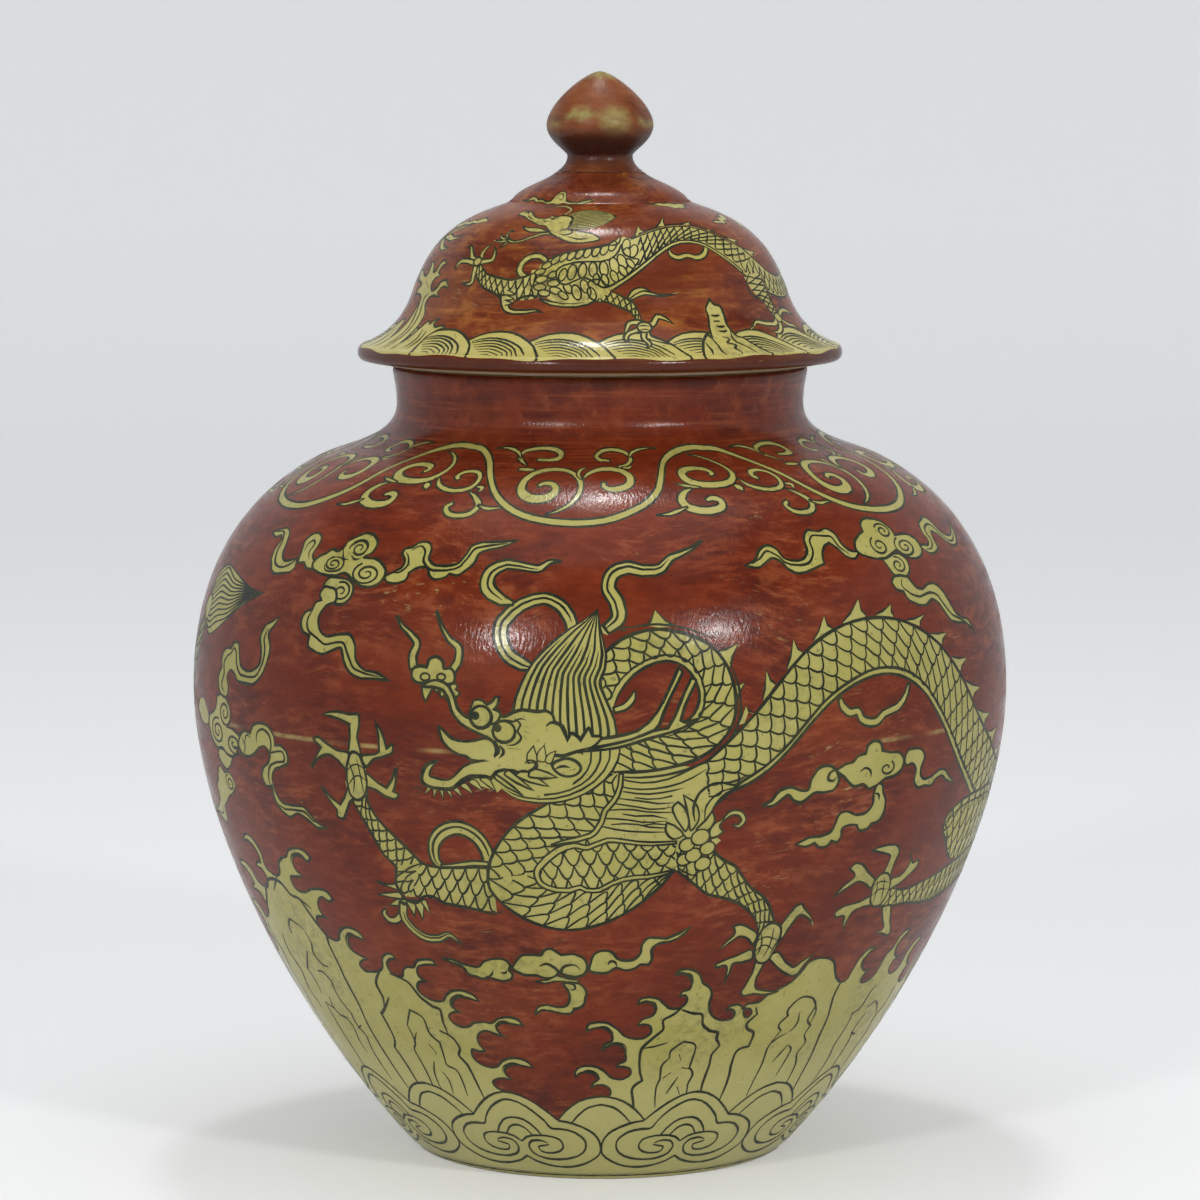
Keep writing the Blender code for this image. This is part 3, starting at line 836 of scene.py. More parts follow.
def laid_flat(chart, left, right, heights, spacing):
    """Cuts the flat painting into triangles. Returns its points, its triangles and the colour of each."""
    points, edges, shapes = gathered(chart, left, right, heights, spacing)
    bottom, top = heights[0], heights[-1]
    cut = delaunay_2d_cdt([Vector(point) for point in points], edges, [], 0, CUT_CLOSE, False)
    spread = np.array([tuple(point) for point in cut[0]])
    parts = np.array(cut[2])
    middles = spread[parts].mean(axis=1)
    across, up = middles[:, 0], middles[:, 1]
    within = (across > left) & (across < right) & (up > bottom) & (up < top)
    parts, middles = parts[within], middles[within]
    by_height = np.argsort(middles[:, 1], kind="stable")
    parts, middles = parts[by_height], middles[by_height]
    colours = np.full(len(parts), -1)
    for colour, outline, low, high in reversed(shapes):
        first, last = np.searchsorted(middles[:, 1], (low[1], high[1]))
        near = np.arange(first, last)
        near = near[(colours[near] < 0) & (middles[near, 0] > low[0]) & (middles[near, 0] < high[0])]
        if not len(near):
            continue
        x, y = middles[near, 0][:, None], middles[near, 1][:, None]
        start, end = outline, np.roll(outline, -1, axis=0)
        side = (end[:, 0] - start[:, 0]) * (y - start[:, 1]) - (x - start[:, 0]) * (end[:, 1] - start[:, 1])
        rising = (start[:, 1] <= y) & (end[:, 1] > y) & (side > 0)
        falling = (start[:, 1] > y) & (end[:, 1] <= y) & (side < 0)
        colours[near[(rising.sum(axis=1) - falling.sum(axis=1)) != 0]] = colour
    colours[colours < 0] = 0
    return spread, parts, colours


def flat_mesh(name, spread, parts):
    """Some of the triangles as a flat mesh, in metres along and up."""
    used = np.unique(parts)
    renumbered = np.zeros(len(spread), dtype=int)
    renumbered[used] = np.arange(len(used))
    points = np.zeros((len(used), 3))
    points[:, :2] = spread[used] * MM
    mesh = bpy.data.meshes.new(name)
    mesh.from_pydata(points.tolist(), [], renumbered[parts].tolist())
    return mesh


def wrap_tree():
    """Wraps a flat painting on a turned wall, a skin's thickness above it, and maps it by its flat place."""
    tree = bpy.data.node_groups.new("wrap", "GeometryNodeTree")
    amounts = (("Girth Radius", "Float"), ("Lift", "Float"))
    ins = (("Flat", "Geometry"), ("Wall", "Object"), *amounts, ("Enamel", "Material"))
    entry, leave = sockets(tree, ins, (("Geometry", "Geometry"),))
    node, reckon = hands(tree)
    wall = node("GeometryNodeObjectInfo", {"Object": entry.outputs["Wall"]}).outputs["Geometry"]
    line = node("GeometryNodeMeshToCurve", {"Mesh": wall})
    place = node("GeometryNodeInputPosition")
    kept = {"Geometry": entry.outputs["Flat"], "Name": "chart", "Value": place}
    skin = node("GeometryNodeStoreNamedAttribute", kept, data_type="FLOAT2", domain="CORNER")
    kept = {"Geometry": skin, "Name": "flat", "Value": place}
    skin = node("GeometryNodeStoreNamedAttribute", kept, data_type="FLOAT_VECTOR", domain="POINT")
    flat = node("GeometryNodeInputNamedAttribute", {"Name": "flat"}, data_type="FLOAT_VECTOR")
    apart = node("ShaderNodeSeparateXYZ", {0: flat.outputs["Attribute"]})
    angle = reckon("DIVIDE", apart.outputs[0], entry.outputs["Girth Radius"])
    feeds = {"Curves": line, "Length": apart.outputs[1]}
    spot_on = node("GeometryNodeSampleCurve", feeds, mode="LENGTH")
    spot_at = node("ShaderNodeSeparateXYZ", {0: spot_on.outputs["Position"]})
    along = node("ShaderNodeSeparateXYZ", {0: spot_on.outputs["Tangent"]})
    outward, inward = along.outputs[2], reckon("MULTIPLY", along.outputs[0], -1.0)
    radius = reckon("ADD", spot_at.outputs[0], reckon("MULTIPLY", outward, entry.outputs["Lift"]))
    height = reckon("ADD", spot_at.outputs[2], reckon("MULTIPLY", inward, entry.outputs["Lift"]))
    sine, cosine = reckon("SINE", angle), reckon("MULTIPLY", reckon("COSINE", angle), -1.0)
    side, back = reckon("MULTIPLY", radius, sine), reckon("MULTIPLY", radius, cosine)
    where = node("ShaderNodeCombineXYZ", {0: side, 1: back, 2: height})
    lean = {0: reckon("MULTIPLY", outward, sine), 1: reckon("MULTIPLY", outward, cosine), 2: inward}
    lean = node("ShaderNodeCombineXYZ", lean)
    skin = node("GeometryNodeSetPosition", {"Geometry": skin, "Position": where})
    skin = node("GeometryNodeSetShadeSmooth", {"Geometry": skin})
    feeds = {"Mesh": skin, "Custom Normal": lean}
    skin = node("GeometryNodeSetMeshNormal", feeds, mode="FREE", domain="POINT")
    skin = node("GeometryNodeRemoveAttribute", {"Geometry": skin, "Name": "flat"})
    skin = node("GeometryNodeRealizeInstances", {"Geometry": skin})
    skin = node("GeometryNodeSetMaterial", {"Geometry": skin, "Material": entry.outputs["Enamel"]})
    tree.links.new(skin, leave.inputs["Geometry"])
    return tree


def brushed_enamel_group():
    """Iron-red brushed on a glaze: a ground, thick dark and thin orange strokes, and places worn through."""
    tree = bpy.data.node_groups.new("brushed_enamel", "ShaderNodeTree")
    inks = (("Ground", "Color"), ("Thick", "Color"), ("Thin", "Color"), ("Beneath", "Color"))
    amounts = (("Thin Share", "Float"), ("Wear", "Float"), ("Extra Wear", "Float"), ("Turned", "Float"))
    entry, leave = sockets(tree, (*PLACE_SOCKETS, *inks, *amounts), (("Color", "Color"),))
    node, reckon = hands(tree)
    way = round_way(node, reckon, entry)
    drift = reckon("MULTIPLY", reckon("SUBTRACT", cloud(node, way, 26.0, 26.0, 1.0), 0.5), 0.014)
    drift = node("ShaderNodeCombineXYZ", {0: drift, 1: drift, 2: drift})
    swept = node("ShaderNodeVectorMath", {0: way, 1: drift}, operation="ADD").outputs[0]
    zones = cloud(node, way, 24.0, 34.0, 3.0, 0.6)
    strokes = cloud(node, swept, 95.0, 420.0, 4.0, 0.68)
    hairs = cloud(node, swept, 210.0, 900.0, 3.0, 0.6)
    turned = cloud(node, way, 16.0, 800.0, 3.0, 0.65)
    strokes = node("ShaderNodeMix", {0: entry.outputs["Turned"], 2: strokes, 3: turned}).outputs[0]
    mottle = cloud(node, way, 95.0, 150.0, 5.0, 0.7)
    dark = graded(node, cloud(node, way, 30.0, 48.0, 5.0, 0.65), 0.40, 0.62)
    dark = reckon("MULTIPLY", dark, graded(node, strokes, 0.62, 0.36, 0.25, 1.0))
    tracts = cloud(node, way, 11.0, 19.0, 3.0, 0.6)
    thin_tracts = graded(node, tracts, 0.50, 0.66, 0.0, 0.24)
    warm = blended(node, thin_tracts, entry.outputs["Ground"], entry.outputs["Thin"])
    dark = reckon("MAXIMUM", dark, graded(node, tracts, 0.50, 0.36, 0.0, 0.55))
    colour = blended(node, dark, warm, entry.outputs["Thick"])
    bright = reckon("MAXIMUM", graded(node, strokes, 0.48, 0.72), graded(node, mottle, 0.50, 0.70, 0.0, 0.8))
    bright = reckon("MULTIPLY", bright, graded(node, zones, 0.38, 0.62, 0.12, 1.0))
    bright = reckon("MULTIPLY", bright, entry.outputs["Thin Share"])
    colour = blended(node, bright, colour, entry.outputs["Thin"])
    rubbed = reckon("MULTIPLY", graded(node, hairs, 0.60, 0.76), graded(node, zones, 0.50, 0.68))
    unturned = reckon("SUBTRACT", 1.0, entry.outputs["Turned"])
    rubbed = reckon("MULTIPLY", rubbed, reckon("MULTIPLY", entry.outputs["Wear"], unturned))
    extra = reckon("MULTIPLY", entry.outputs["Extra Wear"], graded(node, mottle, 0.36, 0.62, 0.25, 1.0))
    grain = reckon("ADD", reckon("MULTIPLY", mottle, 0.6), reckon("MULTIPLY", strokes, 0.4))
    grain = graded(node, grain, 0.40, 0.60, 0.86, 1.08)
    colour = node("ShaderNodeVectorMath", {0: colour, 3: grain}, operation="SCALE").outputs[0]
    colour = blended(node, reckon("MAXIMUM", rubbed, extra), colour, entry.outputs["Beneath"])
    tree.links.new(colour, leave.inputs["Color"])
    return tree


wrap = wrap_tree()
brushed_enamel = brushed_enamel_group()
RED_GROUND = (0.200, 0.029, 0.008)
RED_THICK = (0.120, 0.020, 0.010)
RED_THIN = (0.330, 0.086, 0.030)
WORN_YELLOW = (0.47, 0.36, 0.13)
ENAMELLED = {**GLAZED, "step": 1.0 / (BELLY[0] * MM), "gleam": 0.2}
red_enamel, red_paint = ware(
    "red_enamel", ENAMELLED, brushed_enamel,
    ground=RED_GROUND, thick=RED_THICK, thin=RED_THIN, beneath=WORN_YELLOW, thin_share=0.8, wear=0.75,
)

# The red has worn off in a thin line at the join of the two bowls. On the neck it was brushed on turning.
JOIN_HEIGHT = 142.3 * MM
JOIN_SPREAD = 0.9 * MM
NECK_FROM = 222.0 * MM
NECK_TO = 234.0 * MM
NECK_SHARE = 0.85
node, reckon = hands(red_enamel.node_tree)
chart = node("ShaderNodeSeparateXYZ", {0: node("ShaderNodeUVMap", uv_map="chart")})
off_join = reckon("ABSOLUTE", reckon("SUBTRACT", chart.outputs[1], JOIN_HEIGHT))
join = graded(node, off_join, JOIN_SPREAD, 0.2 * JOIN_SPREAD)
feeds = {"Vector": chart.outputs[0], "Scale": 26.0, "Detail": 3.0}
along_join = node("ShaderNodeTexNoise", feeds, noise_dimensions="3D").outputs[0]
join = reckon("MULTIPLY", join, graded(node, along_join, 0.45, 0.62))
red_enamel.node_tree.links.new(join, red_paint.inputs["Extra Wear"])
on_neck = graded(node, chart.outputs[1], NECK_FROM, NECK_TO, 0.0, NECK_SHARE)
red_enamel.node_tree.links.new(on_neck, red_paint.inputs["Turned"])

# The outline is a black that turns green where it is thin.
LINED = {**ENAMELLED, "rings": 0.0, "dull": 0.2}
LINE_INK = {
    "thick": (0.016, 0.020, 0.011), "thin": (0.045, 0.050, 0.022),
    "grime": (0.085, 0.08, 0.03), "grime_share": 0.7,
}
black_line = ware("black_outline", LINED, stained_glaze, **LINE_INK)[0]
ENAMELS = {RED: ("red", "red_enamel", red_enamel), BLACK: ("outline", "black_outline", black_line)}


def painted(name, body, wall, girth_radius, chart, left, right, heights, spacing, enamels, parted_at=()):
    """One band of painting on a wall: its red and its black skin, each split where it would be too heavy."""
    spread, parts, colours = laid_flat(chart, left, right, heights, spacing)
    middles = spread[parts].mean(axis=1)[:, 1]
    for colour, (word, slot, material) in enamels.items():
        limits = [heights[0], *parted_at, heights[-1]]
        for index, (low, high) in enumerate(zip(limits, limits[1:])):
            chosen = parts[(colours == colour) & (middles >= low) & (middles < high)]
            if not len(chosen):
                continue
            piece_name = f"{name}_{word}_{index + 1}" if parted_at else f"{name}_{word}"
            skin = made_by(
                wrap, piece_name, flat_mesh(piece_name, spread, chosen),
                wall=wall, girth_radius=girth_radius * MM, lift=SKIN * MM, enamel=material,
            )
            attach(skin, body)


# The rocks, drawn by brush in two piles that stand on the foot's heads, and painted twice round the jar.
# Each crest is a yellow lobe in a heavy line, with a dark underside where the brush was pressed.
rocks = []
mass_left = """-172,24 -177,35 -178,38.4 -182,39.6* -179,41 -177.6,44 -180,46.8 -184,47.6* -181,50
-177,49.6 -174,47.2 -170,46.4 -166.6,48.6 -167,51.4 -170,53* -166.6,54.4 -166,57.6 -169,59.8 -173,59.6*
-172,61.4 -169,63.2 -164.6,62.4 -162,59.8 -159,59 -156,61.4 -156.4,64.4 -160,66* -156.4,67 -155.4,70.4
-158,72.8 -162.4,73* -161,75.2 -157,76.4 -153,75 -151,72.4 -148,71.6 -145,74 -145.6,77 -149,78.4*
-145.6,79.4 -144.6,82.4 -147,85 -151,85.6* -149,87.6 -145,88 -141,86.4 -138,84 -134,85 -131,87.6 -131,91.2
-134.6,92.6 -139,92.2* -137,94 -134.6,94.8 -136,97 -139,98.8 -143.6,99* -141,100.8 -136,101 -132,99.4
-130,96.4 -126.6,95.2 -123,95.4 -120.6,98.4 -122,100.6 -125.6,101.4* -123.6,102.9 -121.6,103 -121,105
-122.8,107.6 -126,108.8 -129.4,108.4* -127.6,110.2 -124,110.9 -120.4,109.2 -118.4,106 -118.6,102.4
-116,100.6 -113,100.2 -110.4,101.4 -109,104.6 -106,106.6 -103.6,107.2 -101.4,109.4 -97.5,110.5 -94,110.2
-91.6,108.4* -93.4,107 -96,108.3 -99.4,107.8 -101,105.6 -100.4,103.6 -98,102.2* -101.6,101.4 -104.4,101
-104.8,99 -103.4,97.3 -99.6,97 -96,98.4 -92.4,99 -89,98.8 -86.8,96.6* -89,95.6 -91.4,96.6 -93.6,95.6
-95,93.4 -94.6,91.4 -92.4,89.8* -95.4,90.2 -98,89.4 -98.4,86.6 -96.4,84 -93,83 -90.6,83.6 -89,86 -86,87.9
-82.6,88.1 -79.6,86.8 -78.6,84.9* -81.2,85.4 -84.4,85.6 -86.2,83.4 -86,80.8 -83.6,79.6 -80.2,78.6*
-83,77.8 -85,76 -83.6,74.5 -79.6,74.6 -76.4,75.4 -74.6,77 -73.6,79.6 -71.4,81.3 -69,81.4 -68.2,80.1*
-70.6,79.6 -72.4,77.8 -72,75.6 -70,74.4 -67.4,74.6 -66.4,76.6 -64.6,77.8 -62,78 -60,80.2 -57,81.1 -54,80.9
-53.2,79.5* -57,79.3 -60.4,78 -61,75.4 -58.4,73.6* -61.8,73 -63,70.6 -60.6,68.2 -57,67.2 -54,67.8
-52.6,69.6 -49.6,71.4 -45.6,71.7 -42,70.2 -40.9,68.5* -44,69.3 -48,69.4 -50.6,67.6 -51,65.6 -48.4,64*
-51.6,64 -53.8,62.4 -53,60.4 -50,59.1 -47,59.5 -44.6,61 -41,61.5 -38,61.3 -35,63.1 -31,63.7 -28,62.8
-26.9,61* -30,61.3 -34,61.5 -36.6,60 -36,58.2 -33.8,56.5* -37,57.3 -41,58.4 -44.4,56.6 -45,53.6
-43.2,51.2* -45.4,50.7 -48.4,51.2 -49.1,48.6 -47,46.2 -43,45.1 -40,45.6 -37.4,47.8 -34,49.1 -30,49.1
-27,47.8 -25.8,46.1* -29,46.4 -33,46.8 -36.6,45.4 -37.4,43.2 -34.9,40.9* -38,41.4 -41.4,41 -43.9,39.4
-43,37.6 -40,36.4 -36,33 -30,24"""
mass_right = """-2,24 2,34 4.2,36.6 4,38.4 1.6,40 -1.6,40 -3.6,38.9* -2.6,40.9 -0.8,42.2 -2,44 -4.6,45
-7.4,44.6 -9.5,43.1* -9.4,45 -8,46.5 -5,47.3 -1,46.8 2,45 3.8,43.2 6,42.3 9,42.3 11.8,44.2 11.4,46
9.4,46.8 6.3,46.9* 7.4,48.2 9.4,49 9.2,52 8,54.4 5,55 2.4,54.2 0.7,53* 1.6,54.9 4.2,56.3 4.2,58.4 1.6,60.6
-1.6,60.8 -4.5,59.8* -4,62 -0.6,62.9 3,62.4 6,60.4 8.6,58 12,56.9 15.6,57.2 17.8,59 17.4,61 15.4,61.8
12.9,61.6* 14.4,63.6 17.6,64.8 18.6,66.4 17.6,68.6 15.4,69.6 12.4,69* 13,70.4 15.4,71.1 19,70.4 21.4,68.4
23.4,67.1 26.4,67 28.4,68.4 28.8,70 27.8,71.3 26.2,71* 26.8,72.6 29,73.2 29.5,75 28.4,77.4 26,78.6
23.9,78.2* 25.2,79.7 28.4,79.8 31.6,78 33.4,75 35.6,73.6 37,71.4 36.8,68 38,64.6 40.6,62.6 44,61.8
46.8,62.6 46.9,64.2 45.6,65.3 43.4,65.6* 45,66.8 48,66.8 50,65.2 50.8,63 52.6,62.2 53.6,63.4 52.8,64.8
49.6,65.5* 51,66.9 53,67 55.4,67.2 58,69.4 62,71 66,73 68.4,75.6 70.4,78.6 74,79.7 78,79.2 81.4,77.6
83.6,74.4 86,71.6 89,70 91.6,70.6 92.6,74 94,77.6 97,79.9 100.6,79.7* 98,78.3 96.6,76 97.6,73.6 99.6,72.4
102.6,72.3* 100.6,71 100,69.2 102.4,68 106,68.6 108,70.4 108.6,73.4 109.6,76.4 112,78 113,81 116,82.9
119.6,82.5* 116.6,81 114.6,78.4 115.4,75.6 118.8,73.9* 116.6,72.4 117,70 120,68.4 124,69 125.6,71 126,74.4
128.6,77.4 132,78.5 134.8,77.3* 131.6,76 130,73 131.6,70.4 134.8,69.1* 132.6,67 133.4,64.4 137,63
140.4,63.8 142,66 144,69 148,70.5 151.8,68.9* 148.6,67.6 146.8,65 148,62.4 151.2,60.9* 149.4,59 150.4,56
153.6,55 157,56.4 160,57.5 163.8,55.9* 160.4,54.6 158,52 159.4,49.4 162.8,48.3* 160.6,46 161.6,43.4
164.6,42.4 168.2,42.9* 166,40 164.6,34 168,24"""
reserve(rocks, mass_left, 0.85)
reserve(rocks, mass_right, 0.85)
each(ink, rocks, """-131,88 -127,92 -123.4,96 -118,98.6 -112,98.2 -108,95 -104,94.4 -101,90 -98.4,86.4
-96.4,84 -97,81 -96.2,76 -96,70 -95,62 -95.6,54 -94.6,46 -93.6,40 -92,32 / -72.6,74.8 -66,72.6 -64.4,70
-62.6,67.6 -59,65.2 -56.6,64.4 -57,60 -56.4,55.4 / -59.8,57 -55,54.6 -53.6,51 -55,48.6 -52.6,45 -51.6,40
-50.4,32 / 27.4,67 25,65 21.6,63 22,60 17.6,56 15,53 15,46 16.6,41.6* 13,38.6 14,33 15.4,26 / 27.6,66.4
31.6,65 35,64.4 36,61 39,58.6 42.4,57.6 42.6,55.4 44.4,53 42.4,50 42.6,46 42,40 42.4,34 / 54.6,65.4 56,63*
53,59.6 54,58 57,56.4 57,51.6* 52.6,50.4 52,46 53,40 52.6,31 / 89,70 88.4,65 90.6,58 91,52 92.6,44 93,38
94,30 / -76.4,75.4 -80.6,70.4 -80,66 -81.4,62.6 / -77,66.4 -82,61.6 -84.4,60* -83.6,55 -83.8,51 -86,48*
-84.4,43 -83,33""", 1.0, (0.6, 0.5))
each(ink, rocks, """-119,81.4 -118.4,84 -115.6,86.4 -112,85.6 -108.4,84 / -108.6,83.6 -107.4,80 -109,77
-107,73.6 -103.4,73 / -113,76.6 -117.6,72 -119.6,70* -118,66 -118.4,62 / -112,70.4 -108.6,70.4 -105.6,68*
-106.4,65 -105.6,61 -103,57.4* -103.4,54 -101,50 -102.4,44 -101,34 / -113.6,61.6 -114.6,58 -112.4,55.6
-108.4,55 -107,52 -108.6,47 -108,43 / -119.6,59 -120,52 -119.6,44 -120.4,34 / -104,52 -100.4,53.8 /
-119.4,58.8 -115,57.6 / -73.6,57.4 -69.6,63* -65,60.6 -64.6,55.4 -61.6,52.6* -62,47.6 -62.4,44.4
-58.6,42.6 -58.4,33 / -73.6,57.4 -73.4,51 -75.4,48.6 -74.6,42 -75,33 / -70.6,55.2 -74,51 / -67,51.4 -65,48
/ -68,45 -70.6,40 -71,34 / -66,41.4 -64.6,38 -65.6,33 / 15.4,53.4 20,54 24.4,55.2 / 26,49.4 26,52
30.4,55.2* 35,53.6 35,49 34.6,45.6* 36.6,43 35.6,39 37,33 / 26,49.6 23.4,46.6 23.6,42 22.6,38.6 23.6,31 /
24.6,42 27.6,44.2 / 30.8,42.4 27.2,36 / 31.2,38.8 33.2,35.6 / 31.4,45.8 35.2,45 / 29.4,50.8 30.6,48.4 /
66,32 66,39 66.6,44 66,50 67,52 72.4,54.8 / 66.6,52 69,56* 67,58 69.6,61* 68.6,63 72.4,66.8 78,66 81,63
80,58.6 83,56* 82,53 84.4,50 83,46 85.4,42 86,32 / 78.6,65.4 82.4,61 82,56.6 / 74.4,61.6 75.4,57.6 73.4,55
/ 75.6,50.2 71.4,44.4 / 76.2,49.8 78.4,48 77.6,42 77,38.6 / 113,66 111,63 110,58.6 106,57* 106.6,52
105.4,46 107,41 106,31 / 113.6,49.2 118.4,48 / 115.6,57.6 120,59 124.6,57 128.4,53.8 / 117,56 114.6,50
116.6,45 115.6,33 / 133,62 134,56 130,52 131.6,46 130,40 131,31 / 145,58 144,52 147,47 145,41 146.4,32 /
-140,84 -141,78 -139,72 -141,66 -139.6,58 -142,52 -140,44 -141.4,33 / -152,71 -150,64 -152.6,58 -150.6,52
-153,46 -151.6,33 / -128,80 -130,74 -127,68 -129.6,62 -127,56 / -165,57 -163,50 -165,44 -163.6,34 /
-113,100 -115.6,97.6 -118.6,95 / -104,94.6 -99,92""", 0.75, (0.5, 0.4))
# The dark undersides of the crests.
each(ink, rocks, """-93.4,107 -96.4,108.9 -100.4,108 -102,105.4 / -81.2,85.4 -84.6,86.3 -87.2,83.8
-87,80.4 / -44,69.4 -48.4,70 -51.4,68 -51.8,65.2 / -30,61.3 -34.4,62.1 -37.4,60.2 / -29,46.4 -33.4,47.4
-37.4,45.8 -38.4,43.2 / -7.4,44.6 -4.4,45.6 -1.2,44.4 0,42 / 2.4,54.2 5.2,55.6 8.6,54.8 9.9,52 / -1.6,60.8
1.9,61.2 4.8,58.8 / 15.4,69.6 17.9,69.2 19.2,66.6 / 26,78.6 28.8,78 30.2,75.2 / 98,78.3 96,76 96.9,73.2""",
    0.6, (0.3, 0.3))

# The nine heads round the foot, a border of curled heads in black line on yellow. Each is drawn from its
# middle outwards and mirrored, and the yellow of all of them is laid before their lines.
HEADS = 9
HEAD_START = -39.2
foot_ground = []
foot = []


def both(text, way):
    """The same points, mirrored in the head's middle where way is -1."""
    words = []
    for word in text.split():
        x, y = word.split(",")
        words.append(f"{way * float(x):g},{y}")
    return " ".join(words)


reserve(foot_ground, """-39.8,-4* -39.8,35.8* -32,34.2 -25.6,30.6 -20.2,26* -16,29.4 -10,33.4 -4,35.8 0,36.3
4,35.8 10,33.4 16,29.4 20.2,26* 25.6,30.6 32,34.2 39.8,35.8* 39.8,-4*""", 0.0)
for way in (-1, 1):
    ink(foot, both("20.2,26 25.6,30.8 32,34.4 39.8,35.8", way), 0.85, (0.8, 1))
    ink(foot, both("26.4,25 30.4,28.8 34.4,31.4 39.8,32.5", way), 0.8, (0.6, 1))
    ink(foot, both("20.2,26 16.4,29 10,33.3 4,35.7 -0.2,36.2", way), 0.85, (0.8, 1))
    ink(foot, both("""20.2,25.8 25,25.2 31,23.4 36.8,20.2 39.3,16.2 39,12 34,8.6 27,6.4 18,5.7 9,6.7 3,8.4
-0.2,10.2""", way), 0.95, (0.8, 0.9))
    ink(foot, both("""14.2,25.4 16.6,22.6 22.4,22.3 28,20.8 32,17.4 31.8,14 28.4,11.2 21.6,9.5 14,9.1 7.6,9.9
4,11.8 3,14.4 5,16.6 9.6,17.2 13.2,16.2""", way), 0.95, (0.7, 0.5))
    ink(foot, both("""0,16.4 4,18.6 10,19.3 16,19 20,17.4 20.8,14.8 18.4,12.7 12.4,11.8 8.6,12.7 8,14.3
10.6,14.9 13.8,15.5""", way), 0.85, (0.9, 0.5))
each(ink, foot, """-14.2,25.4 -10,29.4 -5,32.2 -1,33.3 4,32.4 9,29.6 14.2,25.4 / -11,19.6 -8.4,22.8 -4.6,25.4
0,26.2 4.6,25.4 8.4,22.8 11,19.6""", 0.85, (0.9, 0.9))
ink(foot, "-6.4,19.4 -3.6,22.2 0,23.2 3.6,22.2 6.4,19.4", 0.8, (0.9, 0.9))
ink(foot, "-40,1.9 0,1.9 40,1.9", 0.6, (1, 1))
jar_painting = repeated(rocks, -GIRTH / 2, GIRTH / 2, 2)
for chart in (foot_ground, foot):
    jar_painting += repeated(chart, HEAD_START - GIRTH / HEADS, GIRTH / HEADS, HEADS)


# The dragon that crosses the front, drawn from its tail to its head, so that what lies nearer covers what
# is behind. Its scales hang in rows from the back to the belly. It is painted twice round the jar.
figures = []
# The far arch of the body, down to the tail on the other side.
back = """23,136 30,142 36,147.3 42,153 48,159.4 55,166 62,170.6 70,173.6 80,174.9 90,173.8 98,171
106,166.3 112,161 118,154.8 124,147.8 131,141.5 139,136.4 147,131.8 155,128.4 163,127.6 170,131
176.4,137.4 182.6,145.6 189,154.6 197,164 206,172"""
belly = """29.2,126 33,131 39,133.4 45,137 51.4,142.6 58,149.2 64.6,154.4 72,158 80,159.8 87.6,159.1
93.6,156.6 98.6,153 103,148.2 107.4,143 112.4,137 118,131.2 124.6,125.8 132,120.6 141,116 153,112
166,112.8 177,118.6 185.6,128.4 192.4,140 199.4,152.4 208,168"""
each(fin, figures, """35.6,148.6 38.6,154.4 40.6,152.6 / 43.2,155.4 44.7,163.4 47.2,159.6 / 50.6,163.2
53.6,171 56,167.4 / 59.6,170.2 64.4,176.6 66.4,173 / 70,174.4 77.6,180.4 79,175.6 / 82.4,175.6 89.6,178
89.6,174.6 / 94,173.2 103,174 99.6,171 / 103.6,168.8 112,168.2 108.6,165.2 / 112.6,161.6 121.4,160.4
116.6,157 / 119.4,154.4 129.4,151.4 123.4,149.2 / 127.4,145.6 137.4,143.4 132.6,140.6 / 137.4,138.4
147.4,138.4 143.4,134.4 / 148.4,131.6 157.4,133.4 154.4,129 / 162.6,128.6 166.6,134.6 169.6,131 /
176.4,137.6 177.6,144.6 181.4,143.6 / 187.4,152.4 188.6,160.4 192.6,159""")
scaly(figures, back, belly, 4, 5.4, gap=(0.0, 0.1), lean=0.3)
ink(figures, back, 0.9)
ink(figures, belly, 0.85)
ink(figures, """30,127.5 32,129.2 37,133.9 43,137.4 49,142 55.6,148.6 62.6,154.8 70.4,158.9 80,161.5
90.4,160.2 98,156 104.2,149.6 111.2,141.4 119,132.9 127,126.6 135,121.4 144.6,116.6 154.4,114 164.6,114.4
174,118.8 182.6,127.4 189.6,138 195.6,149 201.6,160""", 0.8)
# The tuft at the tail's end.
strands(figures, """204,174 203.4,178.4 207,182.6 213,184.4 219,183.6 226,182.2 232,180.8 238,179.6
245.8,179.2""", """206.4,171 206.6,168 209.4,165.6 214,164.4 219,166 225,169 231,172.4 238,176
245.8,179.2""", 11, 0.5, (0.6, 0.2), 5.0, 0.85, 0.5)
reserve(figures, "201,171.4 203,174.4 206,174.6 208.6,172.4 208.4,169.4 205.6,167.6", 0.5)
# The hind leg.
scaly(figures, """168.6,106 165.6,114.4 159,119.8 150,122 142,121.8 131,121.6 123,120.4 117.4,118
116,114.6""", """169.4,101 166,99.6 160,101.4 152,102.6 142,102.4 133,102.6 126,104.4 121,109 117,112.6""",
    4, 5.0, gap=(0.0, 0.0))
ink(figures, """169,105.6 165.6,114.4 159,119.8 150,122 142,121.8 131,121.6 123,120.4 117.4,118 115.8,115
117,112.6 121,109 126,104.4 131,101.8""", 0.9, (0.8, 0.3))
ink(figures, "163,113.4 157.6,117.8 150,119.6 142,119.4 131,119.4 123.4,118.2 119,116.2 118,114.2", 0.5)
reserve(figures, "160,104* 166,104.6 169.4,103 170,99.4 168,95.6 164,93.8 158,93.6*", 0.0)
scaly(figures, """164,103.6 158,104 148,103.4 138,102 130,101 122,99.6 113,98.4 104,97.4 97,99.4 93,103""",
    """164,94 157,93.8 149,93.4 139,92.4 131,91.6 123,91.2 114,91.8 106,92.8 97,92.8 88,97.4""", 2, 3.8)
ink(figures, "165,104.4 158,104.2 148,103.4 138,102 130,101 122,99.6 113,98.4 104,97.4 97,98.6", 0.8)
